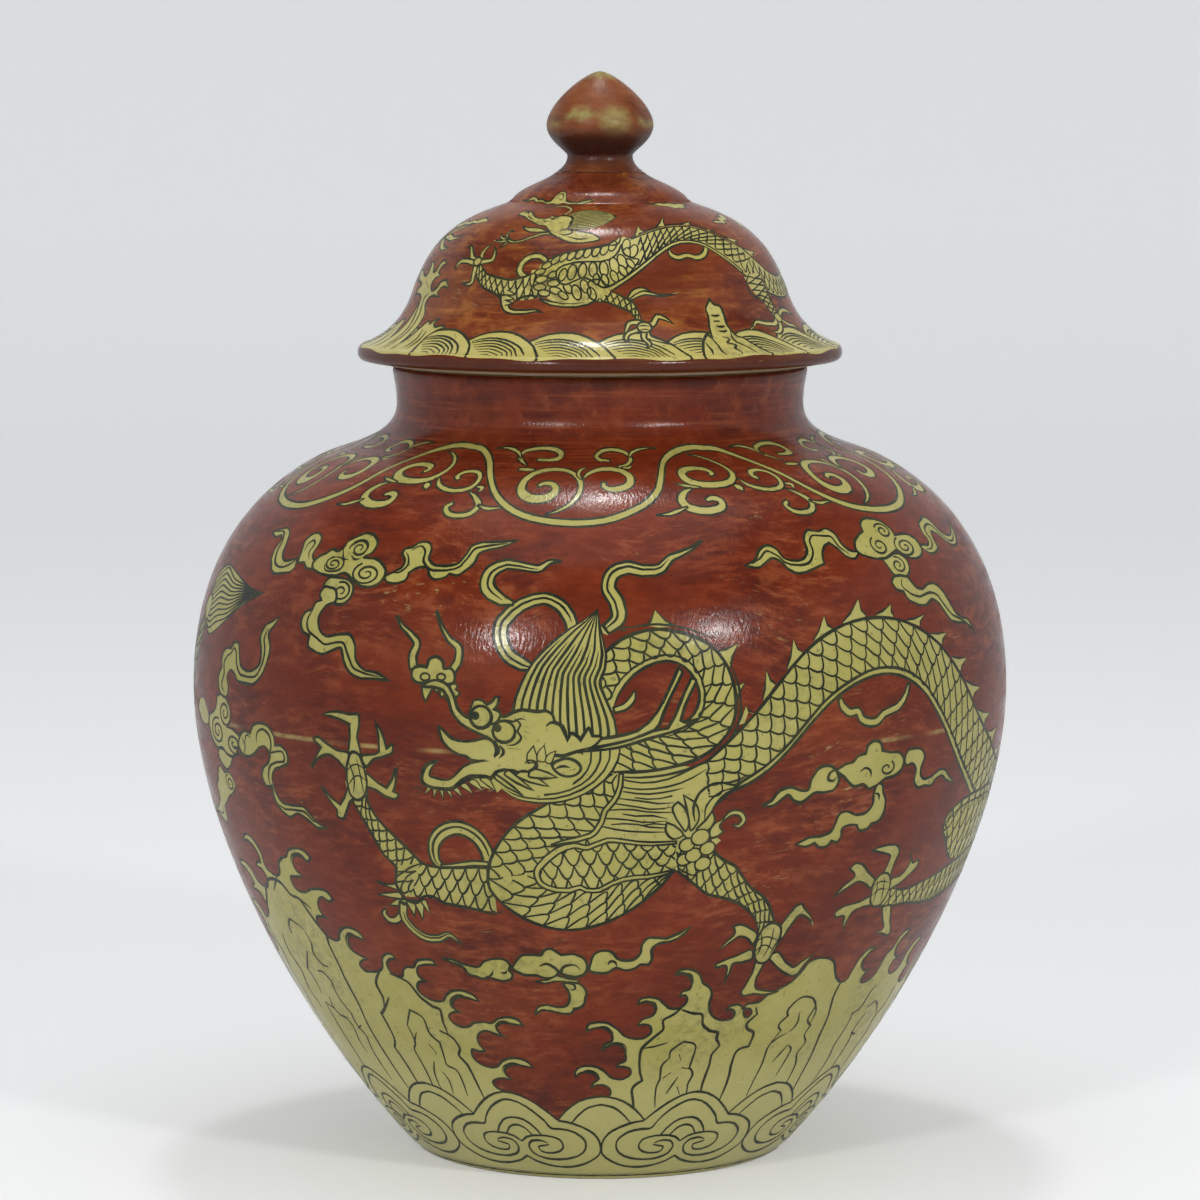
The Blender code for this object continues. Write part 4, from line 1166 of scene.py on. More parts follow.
ink(figures, """168.8,106.4 170.2,102.6 170,99 168,95.4 164,93.7 157,93.8 149,93.4 139,92.4 131,91.6
123,91.2 114,91.8 106,92.8 98,92.8 91,94.6 87,98""", 0.85)
ink(figures, "166.8,102.4 167.8,99.4 166,96.6", 0.5)
each(reserve, figures, """88.6,97.2 83,96 77.4,95.4 74.8,93.8 75.8,92.2* 79,92.2 79.4,90.4 80.4,88* 81,91
82.4,93.4 86,94.4 90,94.6 / 87.6,102.4 84,105 80.6,107.8 77.6,108.2 76.2,106.8* 78.8,104.4 75.4,102
72.4,98.8* 77,101 80.6,102.6 84,101.6 87,100 / 95.8,92.8 97.8,89 100.2,86 97,84.8* 101,84 103.6,83
105.4,83.6 104.6,85.4 102.4,88 100.8,91 99.6,93 / 95,98.4 100,99.4 103.6,101.4 107,104 107,105.8 104,105.4
101.6,108.4* 102,104.8 99.6,102.2 95.6,101.6 / 90.4,102.4 91.4,106 91.8,108.8 88,110.2 83,111.6* 89,112.4
93.4,111.8 95.4,110 94.6,106 94.2,102 / 88,98 87.8,101.6 90,103.8 93.2,103.4 95.4,100.6 95.6,97 93.8,94
91,93.8 88.8,95.4""", 0.7)
each(ink, figures, """88,97 91,99 95,98.6 / 87,100 90.6,101.4 95,100.6 / 90,95 90,99 88.6,102.6 / 93.6,95
93,99 91.6,103""", 0.45)
# A flame under the arch.
ribbon(figures, """66.6,154.6,1.2 67.6,152.2,2 70,150.6,2.1 72.4,150.8,1.9 73.6,148.8,2.1 76,147.6,2.2
79,147.6,2.2 81.6,149.4,2 83.6,150,2 87,150.8,2 90,153.4,1.7 91.6,156.4,1""")
# The strands of the elbow tuft, behind the horn.
reserve(figures, "1,138.6* 16,138.6 28,139.6* 26,119* 12,118 -3,119.6* -2,128", 0.0)
each(ink, figures, """4,136.6 10,135 17,135.6 24,138.4 29,141 / 3.6,134.6 9,133.3 16,133.5 22,135 28,138.2
/ 6,132.7 12,131.9 18,132.5 23,133.6 27,134.8 / 9,131 14,130.5 19,131.3 24,133.4 / 5,130.8 11,130 16,129.2
19.6,129.5 / 2.8,129.6 9,128.6 14,127.7 19,128.3 / 2,127.6 8,127.8 13,127 19.6,126.8 / 6,126.6 10,125.9
14,126 18,125 / 1.4,125.4 7,125 12,124.2 17.6,124.5 / 3,123.7 9,123.8 14,122.7 19,122.6 / 0.4,123.2 6,122
12,121.5 18,121.4 / -1,121.4 5,120.9 10,120.4 16,120.2 / 11,123.3 15,123.8 18.6,123.3""", 0.5, (0.7, 0.3))
# The loop of the neck.
each(fin, figures, """0.6,173.8 -2,176.6 7,174.6 / 12,175.4 15,180 20.6,175.4 / 31.4,168.8 37.4,170.6
34.8,164.4 / 35.4,160 38.6,160.4 36,155.4""")
scaly(figures, """-6,150 -5.4,158 -1.6,165.6 3,170.4 8,173.4 15,174.8 22,173.8 29,170.8 33.5,165.5
35.8,158 35.2,150.5 31.5,145 26,141.2 20,139.3 12,138 0,138 -8,138.6""", """3.4,148 3,153 5,159 9,163.4
14,166 18,166.6 22,165.2 25,161.5 26,157 24.5,152.8 21,150 15,148.2 8,147.4 0,146.5 -6,146""", 3, 4.7,
    gap=(0.0, 0.14), lean=0.3)
ink(figures, """-1.6,165.6 3,170.4 8,173.4 15,174.8 22,173.8 29,170.8 33.5,165.5 35.8,158 35.2,150.5
31.5,145 26,141.2 20,139.3 12,138 3,138""", 0.95)
ink(figures, "3,176 8,175.4 14,176.2 22,175.2 30,172.4", 0.6)
ink(figures, "34.6,165.8 37,158 36.6,150.4 33,144.4 27,139.9 20.4,137.6 12,136.4 5,136.6", 0.7)
ink(figures, """3.6,155 5.4,159 9,163.2 14,165.9 18,166.5 22,165.1 25,161.5 26,157 24.5,152.8 21,150
15,148.2""", 0.8)
ink(figures, """2.8,157 4.4,160.6 8.6,164.8 13.6,167.4 18,168.1 23,166.6 26.4,162.4 27.5,157 26,151.8
22,148.6 16,146.8""", 0.55)
ribbon(figures, "3.6,154,1.4 6.6,155,1.7 8.4,157,1.5 8.9,158.8,0.5", 0.6)
reserve(figures, """-16,118 -20,110 -16,104 0,101 12,104 21,110 24,108 32,118 31,124 29.4,129 27,136
20,132 20,122 0,122 -8,124""", 0.0)
# The inner stretch of the body and the second foreleg.
scaly(figures, """-19,111 -15,117 -8,119.6 0,119.6 6,120 12,118.8 19,118.8 23,120 26,121.4""",
    """-19,110 -17.6,106 -12,104 -5,105.2 1,104.6 6,108.4 13,108.4 20,110.4 24,108.4""", 4, 4.6,
    lean=0.35)
scaly(figures, """21,122 26,121.6 29.8,120 31,116 34,113 38,110.8 41,107 44,103.8 48,101.2 51,97.5 53,93.5
56,90""", """20.4,114 22,109.8 25,107.6 28,104.8 31,102.8 35,101.8 40,100 44.5,96.8 47.5,93 48.6,89.5
48,86""", 4, 4.2)
each(ink, figures, """29.8,120.6 31,116 34,113 38,110.8 41,107 44,103.8 48,101.2 51,97.5 53,93.5 55.4,91 /
20.4,110.6 22,109.6 25,107.6 28,104.8 31,102.8 35,101.8 40,100 44.5,96.8 47.5,93 48.6,89.5""", 0.9)
ink(figures, "21,111.6 23,110 26,108.8 27.4,109.6", 0.6)
each(reserve, figures, """48.4,89.6 45.5,91.8 42,93.2 40,92.6* 40.8,90.4 38.5,88 36.5,85.4* 39.8,87.6
42.6,89.4 45.6,88.4 47.5,86.5 / 47.6,84.8 43,83.4 38.5,82 36.2,80.8 37,79.8* 40,80.2 40.6,77 39.9,74*
41.6,77.6 42.2,80.8 45,81 48.4,82 / 50.2,81.4 49.6,77 48.2,73.4 47.2,71* 48.4,69.8 52,70.2 56.5,69.4
61.5,70* 56,71 52.4,72 51.6,75 52.6,78.6 53.4,81.4 / 54.4,82 58,78.6 62,76 65.4,74.8 67.4,75.4* 68.6,78
71.4,81.2* 67.4,79.4 65,77.8 61,79.8 57,83.4 / 55.6,91 57.4,94.5 59.6,97.4 61.6,98* 62.6,96.6 65.4,94.2
67.6,91* 63.6,94 61.4,94.4 59.4,91.6 57,87.4 / 50,91.4 48.6,87.6 48.8,83.4 50.6,80.6 53.4,80.4 55.6,83.4
56.6,87.8 55.8,91.4 53,92.8""", 0.75)
each(ink, figures, """48.4,83.6 51.4,86 55.6,84 / 47.6,86.8 51.6,88.6 56.6,86.8 / 49.4,90.6 50.6,86
49.4,82.4 / 53.6,91.4 53.6,86.4 52,81.6 / 56.6,89 55.4,85.6 54.4,82.6""", 0.5)
# The leaves where that leg leaves the body.
each(reserve, figures, """23,121.5 20.5,124.6 19.2,128 20.6,129.6* 22.6,127.6 23.8,124 / 24.4,121.6
23.4,126 22,131.4* 25.6,128.6 26.4,124.6 / 19.6,119.4 17.6,121.6 17.8,124* 20.4,122.8 22.4,120.4 /
26,121.8 28.4,124.4 30,126.8* 30.8,124.4 29.2,121.6 / 29.6,121 31,123.4 33.4,124.4* 32.4,122.4 33.6,121*
31.8,119.6 30,119.4""", 0.6)
each(spot, figures, """23,113.4,2 / 28.4,112,2.3 / 25.6,114.6,2.3 / 29.4,116.4,2.2 / 23.6,117.6,2.2 /
27.2,119.6,2.6""", YELLOW, 0.85, 0.5, 0.4)
ribbon(figures, "33.4,124.4,0.7 35.5,126,1.3 38,125.6,1.4 39,123.8,1.3 37.6,122.2,1 36.2,122.8,0.4", 0.55)
ink(figures, "25.4,124 24.8,128 26.4,132 30,134.2 35,134.4 40,136.4", 0.75)
ink(figures, "28,124.4 28.4,128.4 31.4,131.6 36,133", 0.6)
# The ring of flame by the near foreleg, and the foreleg itself.
ribbon(figures, """-30.9,110.6,3 -31.2,115.5,3.4 -33.8,119.6,3.6 -38.5,121.7,3.7 -43.5,120.2,3.7
-46.4,116.5,3.3 -46.4,112,2.6 -44,109.8,1.4""", 0.8, inner=((-0.15, 0.05, 0.95),))
ribbon(figures, "-45,110.4,0.8 -41,110.8,1.2 -36,111.8,1.4 -31,111.8,1.2", 0.6)
each(reserve, figures, """-67.6,104.2* -64,103.6 -60.2,103.8 -60.2,102.4 / -68.2,100.2* -63,101.2
-59.4,101.4 -59.6,99.8 -63,99.6 / -64.6,97.2* -61,99.4 -58,99.2 -59.6,97.6 / -58.2,99 -57.4,96.4
-56.6,94.6* -55.6,97 -55,99.4 / -55.6,99 -54.8,96 -54,93.8* -53,96.6 -52.8,99.6 / -53.4,99.4 -52.2,97.4
-51.2,95.6* -51.2,98 -51.8,100""", 0.55)
ribbon(figures, "-59.6,98.6,1.8 -61,95,2 -63.4,92.8,1.9 -66,92.6,1.8 -67.4,94.4,1.6 -66.4,95.6,0.8", 0.65)
ribbon(figures, """-59.6,98,2.6 -60.4,94,2.4 -58.4,90.6,2.4 -54.4,88.2,2.4 -50,88.2,2.2 -46.4,89.6,1.6
-42.8,87,0.4""", 0.65, inner=((0.2, 0.1, 0.9),))
scaly(figures, """-30,110.2 -35,110.6 -40,110.2 -46,110 -51,110.6 -57,110""", """-30,97.6 -34,98 -38,98.6
-42,99.1 -46,99.7 -51,100.8 -57,100.4""", 3, 4.0)
scaly(figures, """-50.6,110.8 -53.5,113.5 -56.5,116.5 -60,119.5 -63,122.6 -66,127 -65,131 -64.9,135.5
-66,138.6""", """-57,100.4 -60.4,103.6 -59.6,109 -63,112.5 -64.8,116 -66.8,120 -69,124 -71.6,128.5
-72.4,132""", 3, 3.4)
scaly(figures, "-51,110.8 -54,107 -55,103", "-59.6,109.4 -60.6,105 -58,100.2", 2, 3.6)
each(ink, figures, """-31.6,110.4 -35,110.7 -40,110.3 -46,110 -50.6,110.8 -53.5,113.5 -56.5,116.5
-60,119.5 -63,122.6 -65.4,127 -65,131 / -28,98 -31,97 -34,97.6 -38,98.4 -42,98.9 -46,99.5 -49.4,101.2
-52,101 -55,98.8 -58.4,99.6 -60.6,104 -59.6,109 -63,112.5 -64.8,116 -66.8,120 -69,124 -71.6,128.5""", 0.9)
each(reserve, figures, """-70.4,139.6 -69.8,144 -70,147.6* -74,148.8 -79.6,149.4* -74.6,150.6 -70,150.2
-67,150.4 -66.6,148 -67.4,144.5 -66.6,139.8 / -70.6,139.8 -74.5,140.3 -78,141.9 -81,143.3 -82.6,142.6
-80,140.6* -82,138 -84.4,134.6* -80.5,138 -77,138.8 -74,137.4 -71.6,135.4 / -66.2,139.4 -62,140.2
-60.6,141* -60.6,145 -61.6,149* -59.4,146 -58.2,142* -56.4,143.2 -56.4,141.2 -59,139.8 -62.4,138.8
-65,136.6 / -65,134.8 -61.6,132.6 -59,131.4* -57.2,133.6 -55.6,137.4* -56,133 -57,130.6* -55.4,129.8
-56.4,128.6 -59.6,129 -62.6,130.6 -65.4,131.4 / -71.4,130.6 -73.4,127.4 -75.2,125.4* -78,127 -81.4,130.6*
-79.4,126.8 -76.6,123.8* -76.8,122 -75,121.4 -73.4,123.4 -71.6,126.4 -69.8,128 / -71,128.4 -71.8,132.6
-71.2,137 -69.4,140.2 -67.2,139.8 -65.6,136.2 -65.2,131.6 -66.6,128.4 -69,127.2""", 0.75)
each(ink, figures, """-71.6,131 -68,134 -64.8,132.4 / -72.2,134.4 -68.4,137 -65,135.6 / -70,129 -69.2,133
-70.6,137.6 / -66.6,129.4 -67,134 -68,139""", 0.5)
# The near coil.
scaly(figures, """4,138 -3,137.4 -9,133 -14,129.2 -21,124.8 -27,118.6 -30.8,111.6 -31.4,106""",
    """5.4,137 4.6,133.6 3.6,130.4 1,127 -0.6,122.6 -8,119.2 -15,114 -17.6,109.6""", 4, 4.8,
    gap=(0.0, 0.02), lean=0.4)
scaly(figures, """-31.4,107.6 -28.4,100.6 -22,96 -16,93.7 -9,92.8 -1,94.2 7,97.8 14,103 20.6,110""",
    """-17.6,109.6 -16.6,106.6 -13.6,104.8 -9.4,104.4 -5,105 1,104.4 7,107.6 13,108.2 20.6,109.8""", 3,
    5.0, gap=(0.0, 0.02), lean=0.4)
ink(figures, """-13,129.6 -21,124.8 -27,118.6 -30.8,111.6 -31.4,105 -28.4,100.6 -22,96 -16,93.7 -9,92.8
-1,94.2 7,97.8 14,103 20.6,110""", 0.9)
each(ribbon, figures, """5.5,137.4,1 5.1,133.4,1.2 3.6,130.2,1.3 1.4,127.6,1.3 0.4,124.4,1.3 -2,121,1.3
-6,119.5,1.2 -10.6,118.6,0.8 -13,117.8,0.4 / 20.6,118.4,0.7 12,118.2,1 6,119,1.1 2,119.3,1.2 -1,118.2,1.2
-3.6,117.2,1.3 -7,117.8,1.4 -11,116.5,1.7 -15,113.3,1.8 -17.4,110,1.6 -16.6,106.8,1.4 -13,105,1.3
-8.6,104.8,1.3 -5.4,105.7,1.2 -3.8,104.9,1.1 0,105,1.2 4,107.2,1.2 8,108.4,1.2 14,108.8,1.1
20.6,110.4,0.5""", 0.55)
# The mane and the beard behind the head.
ribbon(figures, """-17.2,164.6,1.2 -20.4,165.6,3.2 -24.4,168,3.6 -26.6,172,3.8 -26.6,176,3.8 -24,179.4,3.6
-20,182,3.2 -15,183,3 -10.6,181,3.2 -8,177.4,3.2 -7.4,174,2.6""", 0.8, inner=((0.1, 0.0, 0.98),))
ribbon(figures, """-24,181.6,1 -28,182.6,3.2 -32,186,4 -31.6,190,3.8 -27.4,192.4,2.8 -22.4,192,2.2
-17.6,191.4,2 -14.6,193.4,1.2 -11.6,193.6,0.3""", 0.75, inner=((-0.1, 0.05, 0.8),))
ribbon(figures, """1.6,174.8,2.6 5,178,3.8 4.6,182,4 2.4,186,3.8 3.6,190,3.8 7.8,191.8,3.6 13,190.8,3.2
17.4,191.4,2.8 21,194.6,2 26,196.4,1.2 31,199.4,0.3""", 0.8, inner=((0.2, 0.0, 0.85),))
strands(figures, """-20,146 -22.6,152.6 -22,157 -20.5,160.8 -18.3,165.2 -15.2,169 -11.6,172.4 -7.6,175.4
-3.8,177.6 -0.6,180.6""", """2,143 4.2,147 3.6,152 1.4,157 0,161 1.4,165 1.6,169 0.4,173.4 -0.2,177
-0.6,180.6""", 13, 0.75, (1.0, 0.12), 26.0, 0.72)
strands(figures, """-4.6,143.6 -5,139.4 -7,136.4 -10.4,134.6 -15,133.8 -20,134 -25,135""",
    """5,146.4 4.8,141.4 2,136.6 -3,132.6 -9,130.1 -16,129.3 -22,130.4 -26,133""", 4, 0.55, (0.9, 0.4),
    10.0)
# The long horn.
reserve(figures, """-8.4,143.4 -2,144.3 3,145.3 8,146.6 13,148.4 17.6,149.2* 19.8,153 21.4,157 24,162*
25.2,161.4 23.4,157.6 22,154.6 21,151.2* 22.6,150.6 25,151.4 22.4,149.6 18,148 12.6,146.6 8,145.2 3,144""",
    0.8)
reserve(figures, """-9,147 -5,145.6 0,146.6 5,147.4 9.6,148.6 12.6,150.8* 15.2,154 17.6,158.6 20.6,164.6*
21.6,163.8 18.6,157.8 16.6,153.4 15.4,150.2 14.2,148.8* 8,146.4 3,145.2 -3,144 -8,143""", 0.85)
# The nose, snout and whiskers.
each(ribbon, figures, """-50.6,163.4,2.4 -51.2,166.6,2.3 -50.3,170,1.9 -52.4,172.2,1.5 -55.4,174.2,1
-57.6,176.8,0.3 / -39.6,163.2,2.2 -38,166,2.1 -38.2,169.4,1.9 -41,171.4,1.4 -43.4,174.4,0.9
-45.6,178.6,0.3""", 0.7)
reserve(figures, "-47.6,160 -47.8,157.6 -46.7,154.9* -45.8,156.9 -44.6,159.4", 0.7)
reserve(figures, """-44.4,159.2 -43.8,157.6 -42.6,158.4* -42.4,156.4 -40.8,157.2* -40.6,155.6 -39.6,156.4
-39.6,159.4""", 0.55)
reserve(figures, "-39.6,160 -37.8,159.6 -38.3,158.6* -37.1,157.6 -38,156.6 -39.6,156.4", 0.6)
reserve(figures, """-51.1,161.4 -50.7,163.4 -48.6,164.2 -46.9,164 -46.3,166 -44.2,166.8 -42.3,165.6
-41.9,163.8 -39.9,163.9 -38.7,162.4 -38.9,160.3 -42,159.6 -47,159.6 -49.8,160""", 0.85)
each(spot, figures, "-47.1,161.4,1.35 / -42.5,161.6,1.2", YELLOW, 0.72, 0.6)
# The tongue and the jaw.
reserve(figures, """-42.9,148.9* -41,147.4 -39,145.8 -36,145.2 -33,145.5 -30.5,146.2 -28.4,145.8
-27.2,144.2 -27.1,142.2 -28.6,140.6 -31,140.1 -34,140.4 -35.2,141.3 -37,141.6 -39.6,142.8 -41.9,145.3""",
    0.85)
reserve(figures, """-26,133.2 -30,133.4 -33.4,135.6 -30,140 -20,144 -9,143.4 -4,142 -5,137 -9,133.6
-14,131.6 -20,131.6""", 0.0)
each(reserve, figures, """-46.2,132.7 -47.6,130.4* -45.2,132.6 / -44.8,132.5 -45,129.6* -43.8,132.4 /
-43.2,132.4 -42.2,129.4* -42.2,132.4 / -41.6,132.4 -39.6,129.8* -40.4,132.5 / -39.6,132.6 -36.8,130.4*
-38.2,133 / -37.2,133.4 -33.6,131.2* -35.8,134.2 / -34.8,134.6 -30.8,132* -33.2,135.2 / -31.6,135.4
-27.4,132.2* -29.6,135.8""", 0.4)
each(ink, figures, "-47.4,133.2 -49.4,132.2 -52,132 / -47,132.8 -49,131 -50.8,130", 0.4)
reserve(figures, """-48.1,134.1 -47.7,136.6 -46.2,138.6 -43,139.8* -45,137.7 -45.7,135.7 -44,135
-40.6,134.8 -38.6,136 -36.2,138.5 -33,139.9 -28,140.6 -24.6,142.6 -20,146 -8,146.4 -6.6,143.2 -9.8,142
-13,141.6 -14,140 -17,139 -16.6,140.9 -18.6,140.2 -16.6,139.4 -18,138 -20.5,137.2 -22.5,137.8 -25,138.1
-27.2,137.4 -28.6,135.8 -30,136.1 -34,135.9 -36.5,134.7 -39.5,132.4 -43,132.2 -46.5,132.7""", 0.0)
ink(figures, """-43,139.8 -45,137.7 -45.7,135.7 -44,135 -40.6,134.8 -38.6,136 -36.2,138.5 -33,139.9
-29,140.3""", 0.7)
ink(figures, """-43,139.8 -46.2,138.6 -47.7,136.6 -48.1,134.1 -46.5,132.8 -43,132.2 -39.5,132.5
-36.5,134.8 -34,136 -30,136.1 -28.6,135.8 -27.2,137.4 -25,138.1 -22.5,137.8 -20.5,137.1 -18,137.9
-16.5,139.4 -17,140.6 -18.9,140.1""", 1.1, (0.6, 0.6))
# The skull, the brow and the cheek.
reserve(figures, """-46,160.2 -43.5,160.7 -40.6,159.6 -38.7,156.9 -37.4,153.5 -35,151.5 -33.4,151.4
-29,153 -25,152 -22.6,153.2 -20,153.9 -16,153.5 -13.8,153.7 -12.2,152.6 -11.6,150.9 -10.4,150.2 -9.4,148.8
-8.4,146.2* -7.4,148 -6.2,147.6 -5,146.4* -4,148 -2.9,149.4 -1.9,147.4* 0.4,147 -2,144.4 -6,143.3
-9.8,142.1 -13,142.6 -16,143.4 -19,142.4 -22,142.8 -24.6,142 -26.4,140.8 -26.8,142.6 -27,144.6 -28.6,146
-33,147.9 -36.9,149.9 -39.4,153.2 -40.4,156.3 -42.1,158.3 -45,158.9 -47.6,158.9""", 0.85)
reserve(figures, """-31.6,141 -26,139.6 -21,140 -17,140.4 -12.6,141.4 -11.4,143.6 -15,145.4 -20,146
-25,145.4 -27,142""", 0.0)
ink(figures, "-13.9,149.7 -12.8,150.7 -11.4,150.7 -10,150 -8.9,148.4 -8.3,146.4", 1.0)
ink(figures, "-27.6,145.2 -26.5,143.2 -27.6,141.2", 1.2)
ink(figures, "-26.2,144.6 -25.1,142.8 -26.4,141", 0.8)
each(reserve, figures, """-27.6,135.8 -24.4,133.4 -20.2,131.4* -24,134.6 -27.6,136.8 / -25,137 -22,134.8
-17.4,132.8* -20.4,135.4 -24,138 / -22,136.8 -18.4,135 -13.4,134* -16.4,136.4 -20,138 / -18.6,136.6
-15.4,136 -11.2,136.4* -14.4,138 -17.6,138.4""", 0.6)
reserve(figures, """-12.4,139.6 -10.6,141 -8,141.4 -5.8,140.4 -4.9,138.8 -6,137.3 -8.6,136.7 -11,137.6""",
    0.75)
ink(figures, "-11.6,138.7 -9.6,139.4 -7.6,139", 0.6)
each(reserve, figures, """-18.6,140.2 -18.9,142.2 -17.2,144.6* -16.5,142.6 -16.2,140.8 / -16.2,140.8
-16.1,142.8 -14.4,144.8* -14,142.8 -14.2,140.6 / -14.2,140.6 -13.4,142.4 -11.4,143.4* -11.9,141.6
-12.9,140""", 0.38)
ink(figures, "-20.6,137.6 -18,138 -16.5,139.2 -16.9,140.5 -18.5,140.8 -19.5,139.9", 0.6, (0.6, 0.4))
reserve(figures, """-34.2,151 -34,154 -33.2,155.8 -31.4,156.2 -29.6,155* -28.2,155.8 -27.4,157
-26.4,156.9* -26.8,154.8 -27.6,153.8* -26,153 -26.4,151.2 -28,150""", 0.7)
spot(figures, "-31.2,151.7,2.9", YELLOW, 1.0, 0.9)
each(ink, figures, """-28.4,149.6 -27,150.6 -24.8,151 -22.4,150.8 -20.6,151.6 -19.2,151.2 / -22.2,151.6
-20.6,150 -21.4,148.4 -20.4,146.6 -22,144.9 -24.4,144.6""", 0.7)
spot(figures, "-25,148.1,3", YELLOW, 0.94, 0.8)
each(spot, figures, "-32.7,152,1.15 / -26.7,149,1.1")
each(ink, figures, """-19.6,149.6 -18.4,149.4 / -19.6,148.4 -18.2,147.8 / -19.8,147.2 -18.8,146.2 /
-24,143.8 -20.6,143.6""", 0.4)

# The clouds round the dragon: yellow arms and lobes with a curl in each, some with two bows of line inside.
# They are painted with the dragon, over its edges.
# The left arm of the middle cloud, with its two bows.
reserve(figures, """-124.4,196.2* -120.6,196.4 -117.6,196.8 -116,194.8 -116.4,191.4 -115,188.6
-113.8,187.4* -113,186.6 -111.4,186.4* -109.6,184.6 -105,185.2 -101.8,186.2 -101.2,188.6 -102.4,192
-102.8,195.8 -100.6,198.2 -97.6,198 -95.8,196 -96.6,192.6 -94,189.8 -92.4,188.4* -95,187.6 -98,189
-100,192 -99.8,190 -101,189.2 -104,187.8 -108.4,187.9 -110.8,190 -112.2,194 -114,197.4 -117.4,198.4
-121,197.6""", 0.0)
reserve(figures, """-124.6,196.4* -120.4,195.2 -117.6,196 -116,194.6 -116.4,191.2 -115.4,188.4*
-114,187.4* -112.6,185.6* -109.8,184.8 -106,185.4 -102.6,186 -101.4,187.4 -102.2,190.2* -104.4,189.4
-108,189 -110.6,190.8 -111.9,194.4 -113.8,197.4 -117,198.6 -120.6,197.8""", 0.75)
ink(figures, """-121.6,196.8 -117.4,197.2 -115,194.6 -114.4,191 -112.4,188 -108.6,186.9 -104.6,188
-102,190.4 -101.2,193""", 0.7)
reserve(figures, """-100.8,189 -101.8,192.4 -102.8,195.6 -101,197.9 -98.2,198.3 -95.8,197 -95.4,194.4
-95.8,191.8 -93.8,190 -92.4,188 -95.6,187.6 -98.4,189.2""", 0.75)
ink(figures, "-100.6,192.4 -100.4,194.8 -98.8,196 -97.4,195 -98,192.4 -96.4,190.2", 0.6)
# The lobes in its middle.
reserve(figures, """-84.8,185.6 -86,183 -85,180.4 -80.6,178.8 -76.4,179 -74.4,181.2 -74.6,184 -77,185.6
-80,186""", 0.8)
curl(figures, -78.6, 182.2, 3.6, -1.6, 120, squash=0.8)
reserve(figures, """-94,189.4 -92.6,191.4 -90.2,192.6 -88.4,194 -85.6,193.6 -84,194.8 -83.6,196.8
-81,198.4 -77.8,199.9 -74,199.2 -71.6,196.8 -72.2,194 -74.6,192.4 -70.4,192.4 -67,191 -64.8,188.6
-65.4,186 -68,184.3 -72,184.2 -75.6,185.6 -78,187 -80,187.4 -82.6,186.4 -86,186.3 -90,186.8 -93,187.8""",
    0.85)
curl(figures, -77.6, 195, 4.0, -1.7, 190, squash=0.75)
ink(figures, "-80.6,195.6 -79.2,197 -76.6,197 -74.8,195.4 -75.4,193.4 -77.4,192.8 -79.8,193.6", 0.6)
curl(figures, -85.2, 189.8, 3.4, 1.6, 100, squash=0.6)
ink(figures, "-88.8,189.6 -87.6,187.8 -84.4,187.6 -81.6,188.6 -81.4,190.6 -83.6,191.8 -86.6,191.6", 0.6)
curl(figures, -71.4, 187.8, 5.4, 2.1, 120, squash=0.62)
each(ink, figures, "-84,194.6 -82,191.6 -80,191.4 / -79.6,192.6 -77.4,191.6 -75.4,192.2", 0.6)
# Its right arm.
reserve(figures, """-64.6,187.2 -62.2,189 -59.8,190.4 -59.6,192.4 -61.4,194.4 -61,195.8 -58.4,196.6
-57,198 -53.6,198.2 -52,196.4 -51.8,193.4 -49.6,191.6 -45.6,191.4 -42,192.4 -40.4,194.8 -39.2,197.6
-36,199 -31,199.2 -25,199.9* -29.6,197.6 -33.8,196.6 -36.2,195.4 -37.2,192.4 -39.4,190.2* -41.4,188.8
-44,189.2* -45.4,188 -48.6,187.4 -50.4,188.6* -51.6,190.6 -54.6,190.4 -57,188.8* -57.4,186.8 -60.6,185.6
-63.6,186""", 0.8)
ink(figures, "-62.6,188.6 -60,189 -58.2,191 -58.8,193.4 -60.4,195", 0.6)
ink(figures, """-58.6,195.4 -55.8,197 -53.8,195.4 -53.4,192.6 -50.6,190.2 -46,190 -41.6,191.2 -39.6,193.8
-38,196.8 -33.6,198 -28,198.8""", 0.7)
# The tail under it.
reserve(figures, """-85.4,183.2* -86.4,181 -85,179.4* -87,178.6 -87.6,176.6* -90.2,175.6 -91,172.8
-89.6,170.6 -86.6,169.6* -86.4,166.8 -83.6,165.6 -80.4,165.2 -77,166.6 -74.4,167.2 -73,164 -70.4,161
-66.6,159.8 -62,160 -57.6,159.8* -61.6,161.6 -66,162.2 -68.8,164.6 -69.8,168.6 -72,171 -76,170.8 -80,170
-83,171.4 -84.4,174.8 -82.6,178 -79.6,179.4 -80.6,182.4""", 0.8)
ink(figures, """-87.4,176.4 -88.6,173.6 -87.4,171 -84,169.4 -80.4,167.8 -76.4,168.6 -73.8,168.6
-71.6,165.4 -69.4,162.4 -64.6,161 -60,160.6""", 0.65)
# The left cloud.
reserve(figures, """-163,113.4 -158,112.6 -152,113.4 -146,112.2 -141,111.4* -139.6,113.8 -138.6,117*
-134.4,119 -131,121* -127,122.4 -124,124.6* -125,127.2 -128,128.4 -131,127.8 -134,129.4 -136.6,127.6
-138.6,124.6* -141.4,123 -141.8,119.4 -145,117 -150,115 -156,115 -161,115""", 0.6)
curl(figures, -128, 125.2, 3.2, 1.5, 100, 0.55, 0.75)
ink(figures, "-158,113.8 -150,114 -143,114.4 -140.6,117", 0.5)
reserve(figures, """-124,131.2 -122.6,133.4 -124.8,134.8 -128,134.4 -132,134.6* -133.6,132.4 -131.8,130.2
-128,129""", 0.65)
reserve(figures, """-150,141 -152,143.6 -149.4,146 -145,147 -141.4,145.6 -138.6,141.4 -142,139.6
-147,139.8""", 0.5)
